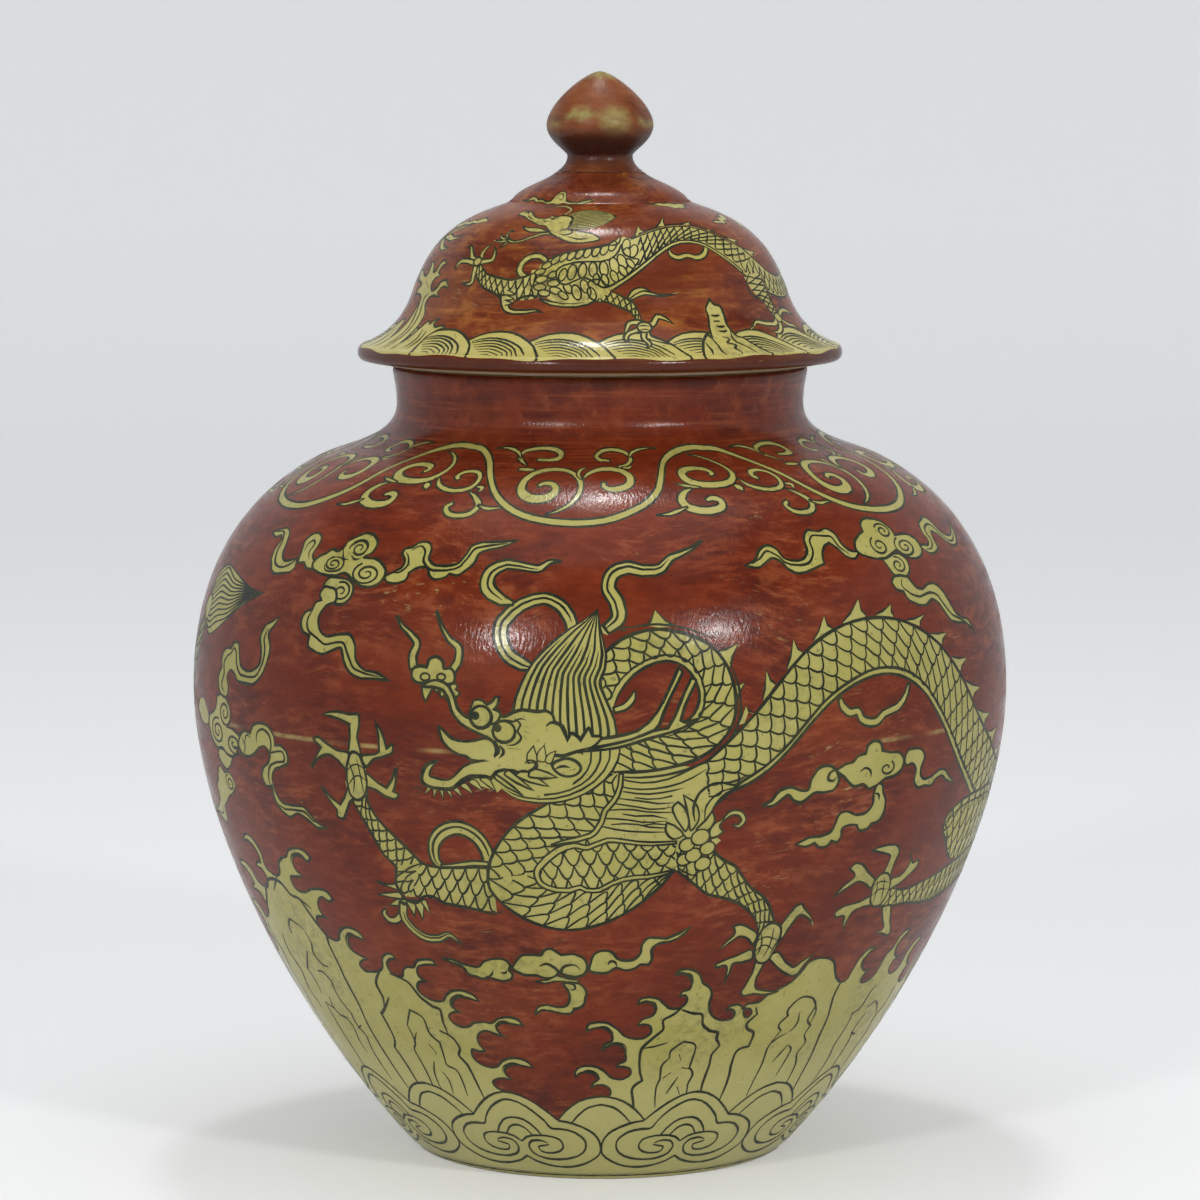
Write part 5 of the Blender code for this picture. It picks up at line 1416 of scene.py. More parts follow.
reserve(figures, """-114.6,140.4 -117.6,136.6 -120.4,133.9 -124,133.2 -127,133.8 -129,135 -133.4,134.4
-137.4,136.6 -139.4,140.2 -138,143.2* -134.6,144.2 -132,146 -131.2,149* -127.4,149.9 -123.6,148.6
-121.6,146 -122.2,142.8 -124.4,141.2* -121,141.2 -117.6,140.2""", 0.8)
curl(figures, -125.4, 145, 4.3, -1.9, 60, squash=0.95)
curl(figures, -131.6, 139.2, 5.2, 2.0, 70, squash=0.75)
curl(figures, -120.4, 137, 5.6, -1.9, 60, squash=0.62)
ink(figures, "-116.4,139.4 -117.6,137 -120,136.2 -122,136.8 -121.2,138.2", 0.5)
# Its upper arm.
reserve(figures, """-123.8,149.6 -122.9,152.4 -124.2,154.8 -122.6,156.8 -119.8,156.4 -117.6,154.6
-113,154.3 -108.6,154.6 -104.8,157.4 -102.8,161.2 -102.2,165 -104,168.6 -102.2,171 -100.6,173.6*
-103.6,172 -106.4,170.6 -107.9,167.4 -106.4,164 -106.4,160.4 -109.4,158.2 -113.2,157.8 -116.4,159
-117.7,162 -118.8,164.4 -121.4,164.7 -123.2,162.8* -127,162.2 -129,159.8 -128.4,157* -130.4,154.4
-130,151.4 -128,149.8""", 0.8)
ink(figures, """-125.4,150.6 -127.8,152.4 -126.4,155.4 -127,158.4 -125,160.6* -122.8,161.6 -121.4,163
-119.8,162 -118.8,159 -116.4,156.6 -112,156.2 -107.6,157 -105,160.6 -104.6,164 -105.8,167.4 -104.4,170""",
    0.65)
# Its right arm.
reserve(figures, """-102.2,124.6 -102.4,127.6* -105.2,127.4 -106.6,130 -105.2,132.6* -102.4,134.2
-101.4,136.6 -103.4,138.3 -106,137.8 -108.8,135.8 -112,134.6 -115.6,134.8 -117.6,137 -116.4,139.6
-113.6,141.4 -110.4,141.2* -108.6,143.6 -105,144.6 -101.2,144 -98.8,141.4 -98.6,139.2* -96,139.4
-93.6,137.6 -93.6,135 -96.4,133.6 -99.6,132.6 -101.6,129.8 -101,126 -98.6,123.4 -94,123.2 -89.6,123.2
-87,121.2 -85,119.2 -81.4,118.2* -85.6,117.8 -88.6,119.6 -92.6,121 -96.4,119.6 -99.6,120.8* -101.4,122.4""",
    0.8)
each(ink, figures, """-103.8,126 -101.8,123.2 -98,121.6 -92.6,122 -89.2,121.6 -86.6,119.6 -83,118.6 /
-107.4,139 -106.8,141.6 -104,143 -101,141.6 -100.4,138.8 -101.2,137 -98.4,137.6 -95.4,137.6 -95,135.4
-98.6,134.6 -102,133 -103.4,129.4 -102.4,126""", 0.65)
ink(figures, "-113.6,138.2 -112.6,140.4 -110,140", 0.5)
ink(figures, "-114.8,135.2 -113.8,137.4 -115.4,139.6", 0.6)
# The lower middle cloud and its neighbours.
reserve(figures, """-50.2,81.9 -47.2,81.9 -44.4,80.8 -41,80.2 -38.6,80 -36.2,82 -33,83 -29.6,82.8 -28,81.2
-28.6,79.4 -27.6,78.2 -28.4,76.6 -31,75.8 -34,76.4 -36,77* -37.6,76.2 -40,76.9* -42.2,77.4 -44,79.6
-47,80.6""", 0.8)
ink(figures, "-31.4,78.6 -29.8,78.6 -29.4,79.6", 0.7)
ink(figures, "-36.6,76.4 -34.4,78 -33.8,79.4", 0.6)
reserve(figures, """-27.4,80.2 -26,82.4 -24,84.4 -20,84.8* -17.8,84.9 -17,86.2 -15,86.9 -13,85.9 -11.8,85*
-7.6,85.2 -4.6,83.6 -3.9,81 -5,78.8 -7.6,77.9 -10.6,78.2 -12.6,79.6* -14.4,77.8 -17.4,77.4 -20,78.2
-24,78.2""", 0.85)
ink(figures, "-18.8,81.2 -16.4,82 -14,80.8 -13,79.6 -12.4,79.2 -11.4,81 -9.4,81.8 -7.4,81.6 -6,80.2", 0.9)
ink(figures, "-12.6,79.4 -10,78.3 -7.4,78.2", 0.8)
reserve(figures, """-20.4,76.2 -16.4,76.8 -13.6,78.4* -11.2,77.6 -6.4,76.8* -8.6,75.6 -11,76.4 -14.4,76.4
-17.4,75.6""", 0.6)
reserve(figures, """-21.8,65.2 -20.8,67.4 -17.8,68.5 -14,67.8 -11,68.4 -9.8,71.2 -10.4,73.8 -11.6,75.6
-9,76.2 -6,75.4 -4.3,73 -4.8,71* -5.2,69 -7,67.6 -8.6,67.4* -9.4,65.9 -12.4,65.6 -16,66.4 -19.4,66.6""",
    0.8)
ink(figures, "-12.8,75.4 -10.6,76 -8.2,75.4 -8,74 -9.6,73.6", 0.8)
reserve(figures, """-3.2,80 -2.9,82.6 -1.6,85.4 1.4,86.5 3.8,85.8 5.2,84 7.6,83.2 10.4,83.6 12.2,85.4
12.6,88.2 14.2,90.2 17.2,90.3 20,90 23.4,91.4 26.8,93.4* 24.6,90.8 21.4,89 17.6,88.4 15.6,86.6 15.9,83.6
15,81.8* 12.4,81.9* 10.6,80.6 7.8,80.1 5,80.9 2.4,79.4 -0.6,79.2""", 0.85)
ink(figures, "2.4,81.9 3.2,83 4.6,82.8 5.2,81.2", 0.8)
# The right cloud.
reserve(figures, """44.2,127.8 46.4,128.6 48.6,131.2 52,132.1 55,131 57.4,131 58.2,134 60.6,136.8 63.8,137
66,135.4 67,132.8 65.6,130.4 62.4,129.8 59.6,130 57.8,128.9* 55.4,127.6 53,128.4* 51.4,130 49.6,128.8
46.6,127.2""", 0.85)
ink(figures, "66.6,136 63.8,135 63.4,133.4 65,132.8 66.2,134", 0.9)
reserve(figures, """66,135.4 68.6,137 71.2,137.4 72.8,138.8 75.4,139.3* 76.2,141.6 78.4,142.5 80.6,141.7
81.4,139.6* 84.6,138.8 88,138.4 90,136.4 89.6,133.9 87,132.2 83.4,131.8* 80.6,130.2 77.6,129.4* 75.4,131
72.4,130.6 70.2,132 68.6,133.6""", 0.85)
ink(figures, "74,134.6 75.8,135.4 77.6,134.4 78,132.6", 0.8)
curl(figures, 83.6, 134.6, 3.0, -1.2, 60, 0.7, 0.7)
reserve(figures, """90.4,136.6 91.4,138.6 94.6,138.9 97.8,137.9 98.9,135.9 97.9,133.6 97.9,131.6 99.6,130
103,130.1 106.6,131.6 109.6,131.4 112.4,129.4 116.2,127* 111.6,128 108.6,129.8 105.6,129.2 103.6,127.6
100.6,128 97.4,127.8 95.4,129.8 95.6,133 93.6,134.9 91.2,134.6""", 0.75)
reserve(figures, """81,130.6 79.8,128.2 79.9,125 77.9,122.9 74.6,122.6 71,123.9 68.6,123.4 67.6,121
66.6,118.6 63.4,117.6 59.6,117.6 55.4,115.8* 59,115 61.6,115.8* 63.4,114.4 66,114.5 67.2,115.8*
69.4,115.2* 70.4,117 70.2,119 72.4,119.9 75.4,119.6* 76.6,118 79.6,118.2 80.6,119.4* 83.6,120.2 84.9,122.8
84.6,126 83.4,127.8 82.6,130.2""", 0.8)
ink(figures, "80.2,128 81.6,127.6 82.2,125.8", 0.8)
# The upper right cloud.
reserve(figures, """43,191.6* 46.6,193.2 48.8,196 52,197.4 54.8,196 56,193.4 59,192.3 62.6,192.7 65,195
65.6,198.6 68.4,201.4 72.6,200.8 75.6,201.6 78.4,199.6 79,196.4 81,194.2 84.2,193.4* 81.6,191.6 78.6,192.4
76.4,195.2 74.4,196.9* 72,196 70,193.6 69.4,190.8* 66.4,190 62.8,188.9 59,188.6 56.2,190.2 55,192
52.4,193.4 49.4,192 47,190.8""", 0.8)
ink(figures, """45.4,192 48.4,193.6 51,195.6 53.8,194.4 56.4,191.8 60,190.9 64.4,191.6 67,194.6 67.4,198
69.4,199.6 73,199.2 76.2,198.8 77.4,195.6 80,193.2""", 0.65)
reserve(figures, """93.6,188.6* 92.8,190.4 94,191.6 97.6,191.9 101.4,191.6 103.6,189.6 103.4,187.2
101,185.2 97.6,184.8 94.8,186""", 0.75)
curl(figures, 98.6, 188.4, 3.4, -1.5, 100, 0.6, 0.75)
reserve(figures, """83.6,194 84.6,196.6 87.4,198.4 90.6,199.6* 91.6,202 94.6,203.6 99,203.4 102.6,201.8
104.6,199 104.4,197.2* 108,197.4 112,196.8 114.6,194.6 114.4,191.6 111.4,189.8 107.4,189.6 104,190.6
101.4,192.6 97.6,191.6 94.6,190.8 90.6,190.8 87.4,191.6 84.8,192.6""", 0.85)
curl(figures, 94.4, 194.6, 4.0, 1.6, 110, 0.65, 0.75)
curl(figures, 106.4, 193.4, 5.4, 2.0, 110, 0.65, 0.6)
curl(figures, 100, 199, 3.8, -1.6, 150, 0.65, 0.7)
reserve(figures, """114.6,192.8 117,193.2 119.4,192.8 121.4,194 121,197 123,199.6 126.6,200.6 130,201.4
132.6,199.6 134,196.4 137,194.4 141,194 146,195.6 151,198.8* 147,193.8 142.6,191.2 137.6,190.9 134,192.4
131,195 127.6,196.4 125.6,194.2 125,191.4 121.6,190.2 117.6,190.4""", 0.75)
ink(figures, """117,191.6 121,191.8 123.4,193.6 123.6,197 126.6,198.6 130.4,198.4 133,195 136.6,192.6
141,192.4 146,194.6""", 0.6)
reserve(figures, """94.6,185.4* 92.8,184 93.6,181.8 96.4,180.9* 97.4,178.6 100.6,177 104.6,176.4
108.6,177.6 111.4,176.4 113.4,173.6 116.2,171 120.6,170 124.6,169.6 129.4,166.2* 126.4,170.4 122.6,171.4
119.6,173 117.4,176.6 115.6,179.8 112.4,181.9 109,182 105.4,180.9 102.6,181.8 100.6,184.6 98,185.4""",
    0.8)
ink(figures, """97.6,184.4 96.6,182.6 99.4,180 103.4,178.9 108.6,179.6 112,178.6 114.4,175.4 117.6,172.4
122.4,170.8 126.4,168.8""", 0.65)
jar_painting += repeated(figures, 0.0, GIRTH / 2, 2)


# The scroll on the shoulder: a vine in yellow that rises and falls, with curls and leaves on both sides.
# One length of it is drawn, and it is painted six times round the shoulder.
SCROLLS = 6
scroll = []
ribbon(scroll, """-66.3,241.3,2.5 -60,240.6,2.7 -54,237.4,2.8 -49,232.6,2.8 -45.5,227.6,2.6 -42,222.4,2.4
-37.6,216.6,2.4 -32,211.8,2.5 -25,208.3,2.6 -16,206.4,2.6 -7,205.9,2.6 2,206.9,2.6 9.6,209.7,2.6
16.4,213.6,2.6 21,218.6,2.6 23.6,224.4,2.6 26,230.4,2.6 29,235.4,2.8 34,239,3 40,241,3 46.6,241.8,2.7
52.77,241.3,2.5""", 0.75, start_open=True)
each(ribbon, scroll, """-18,208.6,0.5 -13.6,210.4,1.4 -9.6,213.4,1.8 -7.4,217.4,2 -7.2,222,2.2
-9.4,226,2.3 -13,228.8,2.4 -18,229.8,2.6 -23,229,2.8 -27,226.2,3 -29,222,3.2 -28.4,218,3.5 -25.4,215.4,3.7
-21.4,214.8,3.8 -17.6,216,3.6 -16,218.8,3 -17.4,221.2,2.4 -20.6,221.8,2.2 -23,220.4,1.8 / -6.4,224.4,0.8
-4.4,227.4,2.2 -0.4,229.8,2.8 4.4,230.2,3 9,228.6,3.2 11.6,225.2,3.3 11,221.6,3.2 7.8,219.6,3 4,219.2,2.6
1.6,220.4,2.2 1.4,222.6,1.8 / -27,229.2,1.4 -31,229.4,2.6 -34,229.4,2.0 / -31.6,232,0.8 -34.6,234.2,1.8
-37.6,237.4,2.2 -36.8,240,2 -32.6,241.4,1.9 -27,241.8,2 -21.4,241.2,2.4 -18.2,239,2.8 -19,236.6,2.8
-23,235.6,2.2 -28.6,235.9,1.9""", 0.7)
each(ribbon, scroll, """-36.6,236.4,0.6 -38.8,239,1.6 -42.4,240.8,1.6 -47,241.6,1.1 -52,241.2,0.3 /
-7,223.8,0.6 -8.6,227,1.6 -7.6,230,1.6 -5.6,230.8,0.6""", 0.6)
ribbon(scroll, """7.4,231.4,1.4 11.6,233,2 13.8,235.8,2.2 13.4,238.8,2.1 10,240.8,2 4.8,241.4,1.9
0.4,240.4,2.2 -1.6,238.2,2.4 -0.2,236.2,2.2 4.4,235.6,1.5""", 0.7)
each(ribbon, scroll, """13.6,237.4,0.8 15,239.8,1.6 18.6,241.3,1.3 23,241.9,0.9 27.6,241.8,0.2 / 9.4,231,1
12,231,1.8 13.4,232.2,0.8""", 0.6)
ribbon(scroll, """41.4,238.4,0.4 46,237.4,1.2 50.6,234.4,1.7 53.6,230.4,2.1 54,226,2.4 51.6,222.4,2.7
47,220.6,3 41.6,220.4,3.2 36.4,221.2,3.4 33,223.8,3.6 33,227.2,3.5 36,229.4,3.2 40.6,229.8,2.9
44.4,228.6,2.7 45.4,226.4,2.4 43.8,225.2,1.8""", 0.7)
ribbon(scroll, "28.2,221.4,0.3 30.6,220.6,1.4 34,219.8,1.6 37.4,219.4,0.6", 0.6)
ribbon(scroll, """33.6,219,0.8 30.2,217.2,2.4 28.4,214.2,3.2 29.8,211.4,3.3 33.6,210,3.2 38.4,209.9,3.1
42,211.4,2.9 42.2,213.6,2.6 39.8,214.6,2.4 37,213.8,1.4""", 0.7)
ribbon(scroll, "29.6,211.4,0.6 26.6,210.2,1.5 23,208.9,1.4 18.6,208.6,0.3", 0.6)
each(ribbon, scroll, """51,220.2,1.4 52.2,218.6,3.4 51.8,217.6,2.6 / 54.4,223,0.6 56.6,219.8,1.9
61,217.7,2.1 66.4,217.3,2.1 70.8,219,2.1 72,222.6,2.1 70.2,225.9,2.1 66.6,227.2,2.2 63,226.2,2.4
61.8,223.9,2.2 63.6,222.4,1.6""", 0.7)
ribbon(scroll, "72.6,219.4,1 75.4,218.8,1.8 74.6,217.2,1", 0.6)
ribbon(scroll, """71,217.2,0.6 75,214.6,2 77.2,211.4,2.3 75.6,208.6,2.2 71.4,207.5,2.1 67.4,208.4,2.1
65.9,210.6,2.1 67.8,212.2,1.4""", 0.7)
ribbon(scroll, "77,211.8,0.6 80.4,210.6,1.6 83.6,210.7,1.1 86.6,211,0.2", 0.6)
jar_painting += repeated(scroll, -GIRTH / SCROLLS, GIRTH / SCROLLS, SCROLLS)


# The painting is fired on the jar in two bands: the figures up to the shoulder, and the shoulder with the
# neck. The seam of both runs up the jar's left side, and their rows lie close where the wall bends sharply.
PAINT_SEAM = -178.6
FIGURES_TOP = 203.0
NECK_START = 259.0
LOWEST_ROW = 0.6
JAR_ROWS = 3.0
SHOULDER_ROWS = 1.6
LIP_ROWS = 0.35
EDGE_LEFT = 0.02
HALF_WAY = 90.0
wall_length = sum((two - one).length for one, two in zip(jar_wall_line, jar_wall_line[1:]))
jar_wall = bpy.data.objects.new("jar_wall_line", line_mesh("jar_wall_line", jar_wall_line))
figure_rows = levels((LOWEST_ROW, FIGURES_TOP, JAR_ROWS))
wall_top = wall_length - EDGE_LEFT
shoulder_rows = levels((FIGURES_TOP, NECK_START, SHOULDER_ROWS), (NECK_START, wall_top, LIP_ROWS))
on_jar = ("jar", jar_wall, BELLY[0], jar_painting, PAINT_SEAM, PAINT_SEAM + GIRTH)
painted("jar_figures", *on_jar, figure_rows, JAR_ROWS, ENAMELS, (HALF_WAY,))
painted("jar_shoulder", *on_jar, shoulder_rows, SHOULDER_ROWS, ENAMELS)


# The lid: one thrown dome with a raised step for the knob and a flaring brim with a rounded edge, glazed
# yellow all over the outside and painted like the jar. Its heights are counted from the seat on the lip.
LID_SEAT = JAR_HEIGHT + 0.3
STEP_TOP = (12.0, 53.2)
STEP_EDGE = (24.6, 45.3)
DOME_TOP = (26.0, 44.6)
WAIST = (52.2, 20.3)
FLARE = (65.7, 5.8)
BRIM = (67.5, 3.2)
BRIM_LOW = (65.3, 1.0)
SEAT_EDGE = (58.8, 0.0)
LID_MOUTH = 46.7
LID_WALL = 5.0
CEILING_RISE = 1.8
SEAT_HEIGHT = 0.02
STEP_BEND = ((0.20, 0.31), (0.83, 0.52))
DOME_BEND = ((0.47, 0.17), (0.79, 0.34))
FLARE_BEND = ((0.19, 0.53), (0.50, 0.82))
CEILING_BEND = ((0.40, 0.0), (0.70, 0.35))
LID_TURNINGS = 200


def on_lid(line):
    """A line counted from the lid's seat, at its place on the jar."""
    return [point + at(0.0, LID_SEAT) for point in line]


dome = bent(DOME_TOP, DOME_BEND, WAIST, 60)
lid_outside = run_together(
    [at(6.0, STEP_TOP[1])],
    bent(STEP_TOP, STEP_BEND, STEP_EDGE, 26),
    dome,
    bent(WAIST, FLARE_BEND, FLARE, 36),
    rounded(FLARE, (BRIM[0], FLARE[1]), BRIM, 9),
    rounded(BRIM, (BRIM[0], BRIM_LOW[1]), BRIM_LOW, 7),
)
lid_outside = on_lid(moved_in(lid_outside, UNDER))
lid_hollow = moved_in(dome, LID_WALL)
ceiling_top = (0.0, lid_hollow[0].z + CEILING_RISE)
lid_ceiling = bent(ceiling_top, CEILING_BEND, (lid_hollow[0].x, lid_hollow[0].z), 12)
lid_under = on_lid(run_together(
    [at(SEAT_EDGE[0] + 3.0, 0.5), at(SEAT_EDGE[0] + 0.6, 0.05), at(SEAT_EDGE[0], SEAT_HEIGHT)],
    [at(LID_MOUTH + 4.0, SEAT_HEIGHT), at(LID_MOUTH, SEAT_HEIGHT), at(LID_MOUTH, lid_hollow[-1].z)],
    reversed(lid_hollow),
    reversed(lid_ceiling),
))
lid_line = [at(0.0, lid_outside[0].z)] + lid_outside + lid_under
seat_end = len(lid_outside) + 5
ON_DOME = {**GLAZED, "drum": WAIST[0] * MM}
lid_glaze = ware(
    "lid_yellow_glaze", ON_DOME, stained_glaze,
    thick=(0.56, 0.48, 0.12), thin=(0.64, 0.56, 0.19), grime=(0.20, 0.16, 0.05), grime_share=0.7,
)[0]
lid_body = made_by(
    wheel, "lid_body", line_mesh("lid_profile", lid_line), turnings=LID_TURNINGS,
    first_row_of_inside=seat_end, first_row_of_base=len(lid_outside), last_bare_row=seat_end,
    outside=lid_glaze, inside=pale_glaze, bare=bare_porcelain,
)
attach(lid_body, "lid")
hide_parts("lid_dome")


# The strokes of the lid, drawn by the same hand with a wider brush for its size: one wave of the brim, and
# the two peaks, the clouds and the dragon that are painted twice round the dome.
brush_share = 1.15
lid_border = []
lid = []
reserve(lid_border, "-12,-2 -10.6,3.4 -8.4,7.4 -5,9.8 -1,10.7 3,10.2 6.4,8.2 9.2,5 10.6,1.2 11,-2", 0.6)
ink(lid_border, "-7.4,6.6 -4.6,7.9 -1,8.2 2.6,7.2 5.8,4.8 7.8,1.2 8.2,-1.6", 0.55)
for inward in (0.0, 1.15, 2.3, 3.6, 5.0, 6.6):
    thicker = 0.1 if inward in (0.0, 2.3) else 0.0
    start, crest = f"{-7.2 + inward * 0.75},{6.0 - inward * 0.85}", f"{-4 + inward * 0.5},{7.1 - inward}"
    middle, fall = f"{-0.6},{7.2 - inward * 1.05}", f"{2.4 - inward * 0.35},{6 - inward * 0.95}"
    low, end = f"{5 - inward * 0.6},{3.6 - inward * 0.7}", f"{6.6 - inward * 0.95},-0.6"
    ink(lid_border, f"{start} {crest} {middle} {fall} {low} {end}", 0.42 + thicker, (0.5, 0.4))
reserve(lid, """-76,-2 -74,7 -71,11.6 -67.6,12.6 -66,9 -65,6 -64.2,12 -63.6,16 -62.8,19.2 -66,20.4
-69.6,20* -68.5,22 -66.6,23 -70,24 -73,24.2 -75.6,27* -72,27.4 -68,26 -65,26 -64.5,28 -66.2,30* -63,29.6
-61.4,27.8 -60.4,27 -59,27.6 -58.4,30 -56.6,30.9 -54.4,29.8* -56.4,29 -56.8,27.2 -54.8,26.4* -57.8,25
-58.6,23.6 -57,21.8 -54.6,22.6 -53.4,24.4 -50.6,24.9 -48.6,22.8* -51.6,23 -53.2,21.4 -51.8,20* -55,20.4
-57.4,19.6 -58.2,18 -56,15 -55.6,12 -56,8 -55.5,4 -54.5,9 -53,12 -51.6,13 -50.6,12 -49.4,13.4 -47.4,14*
-48.8,12.4 -47.6,11.2 -45,11.8 -42.4,10.4* -45,10.6 -47,9 -48,7 -47.4,3 -46,-2""", 0.6)
each(ink, lid, """-62.8,19.2 -61.6,14 -60.4,10 -60.8,5 -60,0 / -60.2,18 -59,14 -58.6,9 -59.2,4 -58.6,0 /
-65,6 -64.6,3 -65,0 / -55.6,4 -55,0 / -58.4,21 -60.4,19.4 -60.2,16.6 / -52,10 -51,6 -51.6,1 / -70,9 -69,4
-69.6,0 / -63,24 -60,22.4 / -50,9.6 -49.4,5 -49.8,1""", 0.5)
reserve(lid, """23,-2 24,4 25.4,7.4 27.4,9.6 28,8 28.4,10.6 29,13 29.6,15.4 29.4,17.6 31.2,20.2* 32.4,18.8
34.2,18.2 34.8,15.6 34.4,12.6 35,10 35.8,8.4 37,8 38.2,6 39.4,3 40,-2""", 0.6)
each(ink, lid, """28,8.4 28.4,5 28,2 28.4,-1 / 34.6,10.6 34,7 36,4 37,0 / 31.2,8.6 32.8,7.6 31.6,6.2
33.2,5 32.2,3.2 32.8,1.6 32.2,-0.4 / 25.6,6.6 25.8,3 25,0""", 0.55)
each(ink, lid, """31,12.2 32.4,12 33.6,12.2 / 31,10.6 32.4,10.4 33.6,10.7 / 30.6,15.6 32,15.4 33.2,15.7 /
30.8,13.8 32.6,13.8""", 0.7, (0.6, 0.6))
reserve(lid, """-56,59.9* -50,60.2 -46.5,61.4 -43,61.3 -40.4,60.4 -37,60.6 -33.6,59.8 -30,60.4 -28.4,62.6
-25.8,64 -22.8,63.4 -21,61.6 -20.6,60.4 -17.6,59.8 -13,59.7 -10.6,60 -7,60.6 -3,60.7* -6.6,59.6 -10.4,58.7
-14.4,58.8 -18.6,58.6 -22,59.2 -24.6,58.2 -28,58.8 -31.4,58.4 -35,59.2 -38,59.6 -41,59.4 -44.6,60.2
-49,59.7""", 0.5)
ink(lid, "-27.4,60.6 -26.8,62.4 -24.6,62.8 -23,61.6 -24,60.4 -25.6,61.2", 0.45)
each(reserve, lid, """27,59.4* 32,58.7 36,59.3 40,58.8 44,59.1 48,58.4 52,58.6 57,57.2* 52.4,56.6 49,54.8
45,55.3 42,55 38.6,56.6 34.6,57.2 30.6,58.2 / -80,44* -74,44.6 -70,46 -66,45.4 -63,46.8 -60,46.4
-57.4,47.9 -54,47.6 -51.4,46.2* -55,45.4 -58.4,44.6 -61,44.9 -63.6,43.6 -67.6,44 -71,42.4 -76,42.4""",
    0.5)
reserve(lid, """51,46* 54,46.8 57,46.4 60,48.4 64,48.2 67,49.8 72,49* 69,47.6 66,46.2 62,46.4 59,44.6
56,45 53.6,45""", 0.45)
ribbon(lid, """22,35.4,0.6 22.2,33.6,1.5 24.2,32.6,1.6 26.6,33.2,1.5 28,33.2,1.4 30.4,32.5,1.6 33,33,1.6
35.2,34.6,1.6 36.6,37,1.4""", 0.5)
scaly(lid, """52,35.6 57,30.5 62,27 68,25.6 75,26.6 82,30 90,34 99,37.6 109,39.6""",
    """46.4,27.6 52,23.6 58,20.8 66,19.4 75,20.4 84,24.6 92,29.4 100,34 109,37.8""", 2, 2.6, 0.42, 0.3,
    (0.1, 0.12))
each(ink, lid, """52,35.6 57,30.5 62,27 68,25.6 75,26.6 82,30 90,34 99,37.6 109,39.6 / 46.4,27.6 52,23.6
58,20.8 66,19.4 75,20.4 84,24.6 92,29.4 100,34 109,37.8""", 0.55)
each(ribbon, lid, """104,38.6,1.6 108,40.4,2 113,43,1.6 118,44,0.3 / 105,38,1.6 110,38.6,2.2 116,38,1.6
121,39.4,0.3 / 105,37.6,1.6 109,36,2 114,34.4,1.5 118,34.8,0.3""", 0.5)
scaly(lid, """9.4,38.6 14,41 20,43.2 26,44.6 32,44.8 37,44 42,41.8 47,38.8 51,35.8 55,32.2""",
    """3,23.6 8,27 13,30.6 18,34.4 22,36.6 26,38 30,38.3 35.4,37.2 40.4,33.4 47,28""", 3, 3.0, 0.48, 0.15,
    (0.08, 0.14))
ink(lid, """6.8,39.6 10.4,39.6 14,41.6 20,43.7 26,45.2 32,45.4 37.4,44.6 42.4,42.4 47.4,39.4 51.6,36.2
56,32.2""", 0.6)
ink(lid, "9.4,38.6 14,40.6 20,42.7 26,44.1 32,44.3 37,43.5 42,41.3 47,38.2 51,35.2", 0.5)
ribbon(lid, """3,23.4,0.8 8,26.8,1.1 13,30.4,1.1 18,34,1.1 22,36.2,1.1 26,37.7,1.1 30,38,1.1 35.4,36.8,1.1
40.4,33.2,1.1 46.8,27.6,1""", 0.5)
each(fin, lid, """11.4,40.2 14.4,45.2 15.4,42.2 / 20.6,44 27.6,49.6 25,45 / 31,45.4 38.6,46.6 36.6,44.9 /
39.6,43.8 46.6,41.6 43.6,41.8 / 47,39.8 54,37.6 51.4,36.6 / 53.4,35 60,33.4 56.6,31.9""", 0.5)
scaly(lid, """46.6,26.4 48.6,22 51.4,19.6 53.6,16.6 55,13.6""", """55.4,27.4 55.6,23.6 56,20.4 57,17.4
58.4,14.4""", 2, 2.0, 0.42, 0.2)
ink(lid, "49.6,27 47,24.4 46.8,22.6 48.4,20.6 51.4,19.6 53.6,16.6 55,13.6", 0.6)
ink(lid, "56,27 55.8,23.6 56.4,20.4 57.4,17.4 58.6,14.6", 0.55)
each(ribbon, lid, """56,14,2 53,12,1.6 48,12.4,1.5 45.4,13,1.2 44,12.2,0.6 41.6,10.6,0.1 / 57,14,1.8
61,15.8,1.5 65,15.4,1.3 68.6,13.6,0.1 / 56,13.6,1.8 55,11,1.5 51.6,9,1.3 49,9.6,0.1 / 57,13.6,1.8
60,11.4,1.4 63,10.6,1.2 66,8.4,0.1""", 0.5)
spot(lid, "56.6,13.8,1.7", YELLOW, 0.9, 0.5)
scaly(lid, """-1,24 2.4,22.8 5.6,21.6 8.4,20 9.8,17.4 10.4,14.4""", """-1.6,19.9 1.4,20 4.4,18.8 7,17.6
8.6,16 9.6,13.6""", 2, 1.9, 0.4, 0.2)
each(ribbon, lid, """7.6,20.4,0.8 9.6,21.8,1.6 12,22.4,1.2 14.6,21.9,0.7 18,21.6,0.4 22,22.4,0.1 /
7.6,20.8,0.6 9.4,22.7,1.4 11.6,23.4,1 13.6,23,0.1""", 0.45)
each(ink, lid, "-1,19.9 2,19.8 5,18.5 8,17 9.4,14.6 / 3,23.2 6,21.4 8.8,19.8 10.2,17 10.9,14.4", 0.6)
each(ribbon, lid, """10.6,13.6,1.8 9,14,1.5 7.4,13.6,1.3 6.6,11.6,1.1 5.8,9.8,0.1 / 10.6,12.6,1.6
9,11.4,1.4 7,10.4,1.2 6.2,8.6,1 6.8,7,0.1 / 12,12.6,1.8 13.8,13.8,1.5 15,15.6,1.4 16.4,15.3,1.2
19,13.4,0.1 / 11.4,11.6,1.7 12,9,1.4 14,7.8,1.2 17.4,5.8,0.1 / 11,11.4,1.5 10.6,8.6,1.2 11.6,6.4,1
10.6,4.4,0.1""", 0.5)
spot(lid, "11.2,12.4,1.9", YELLOW, 0.9, 0.5)
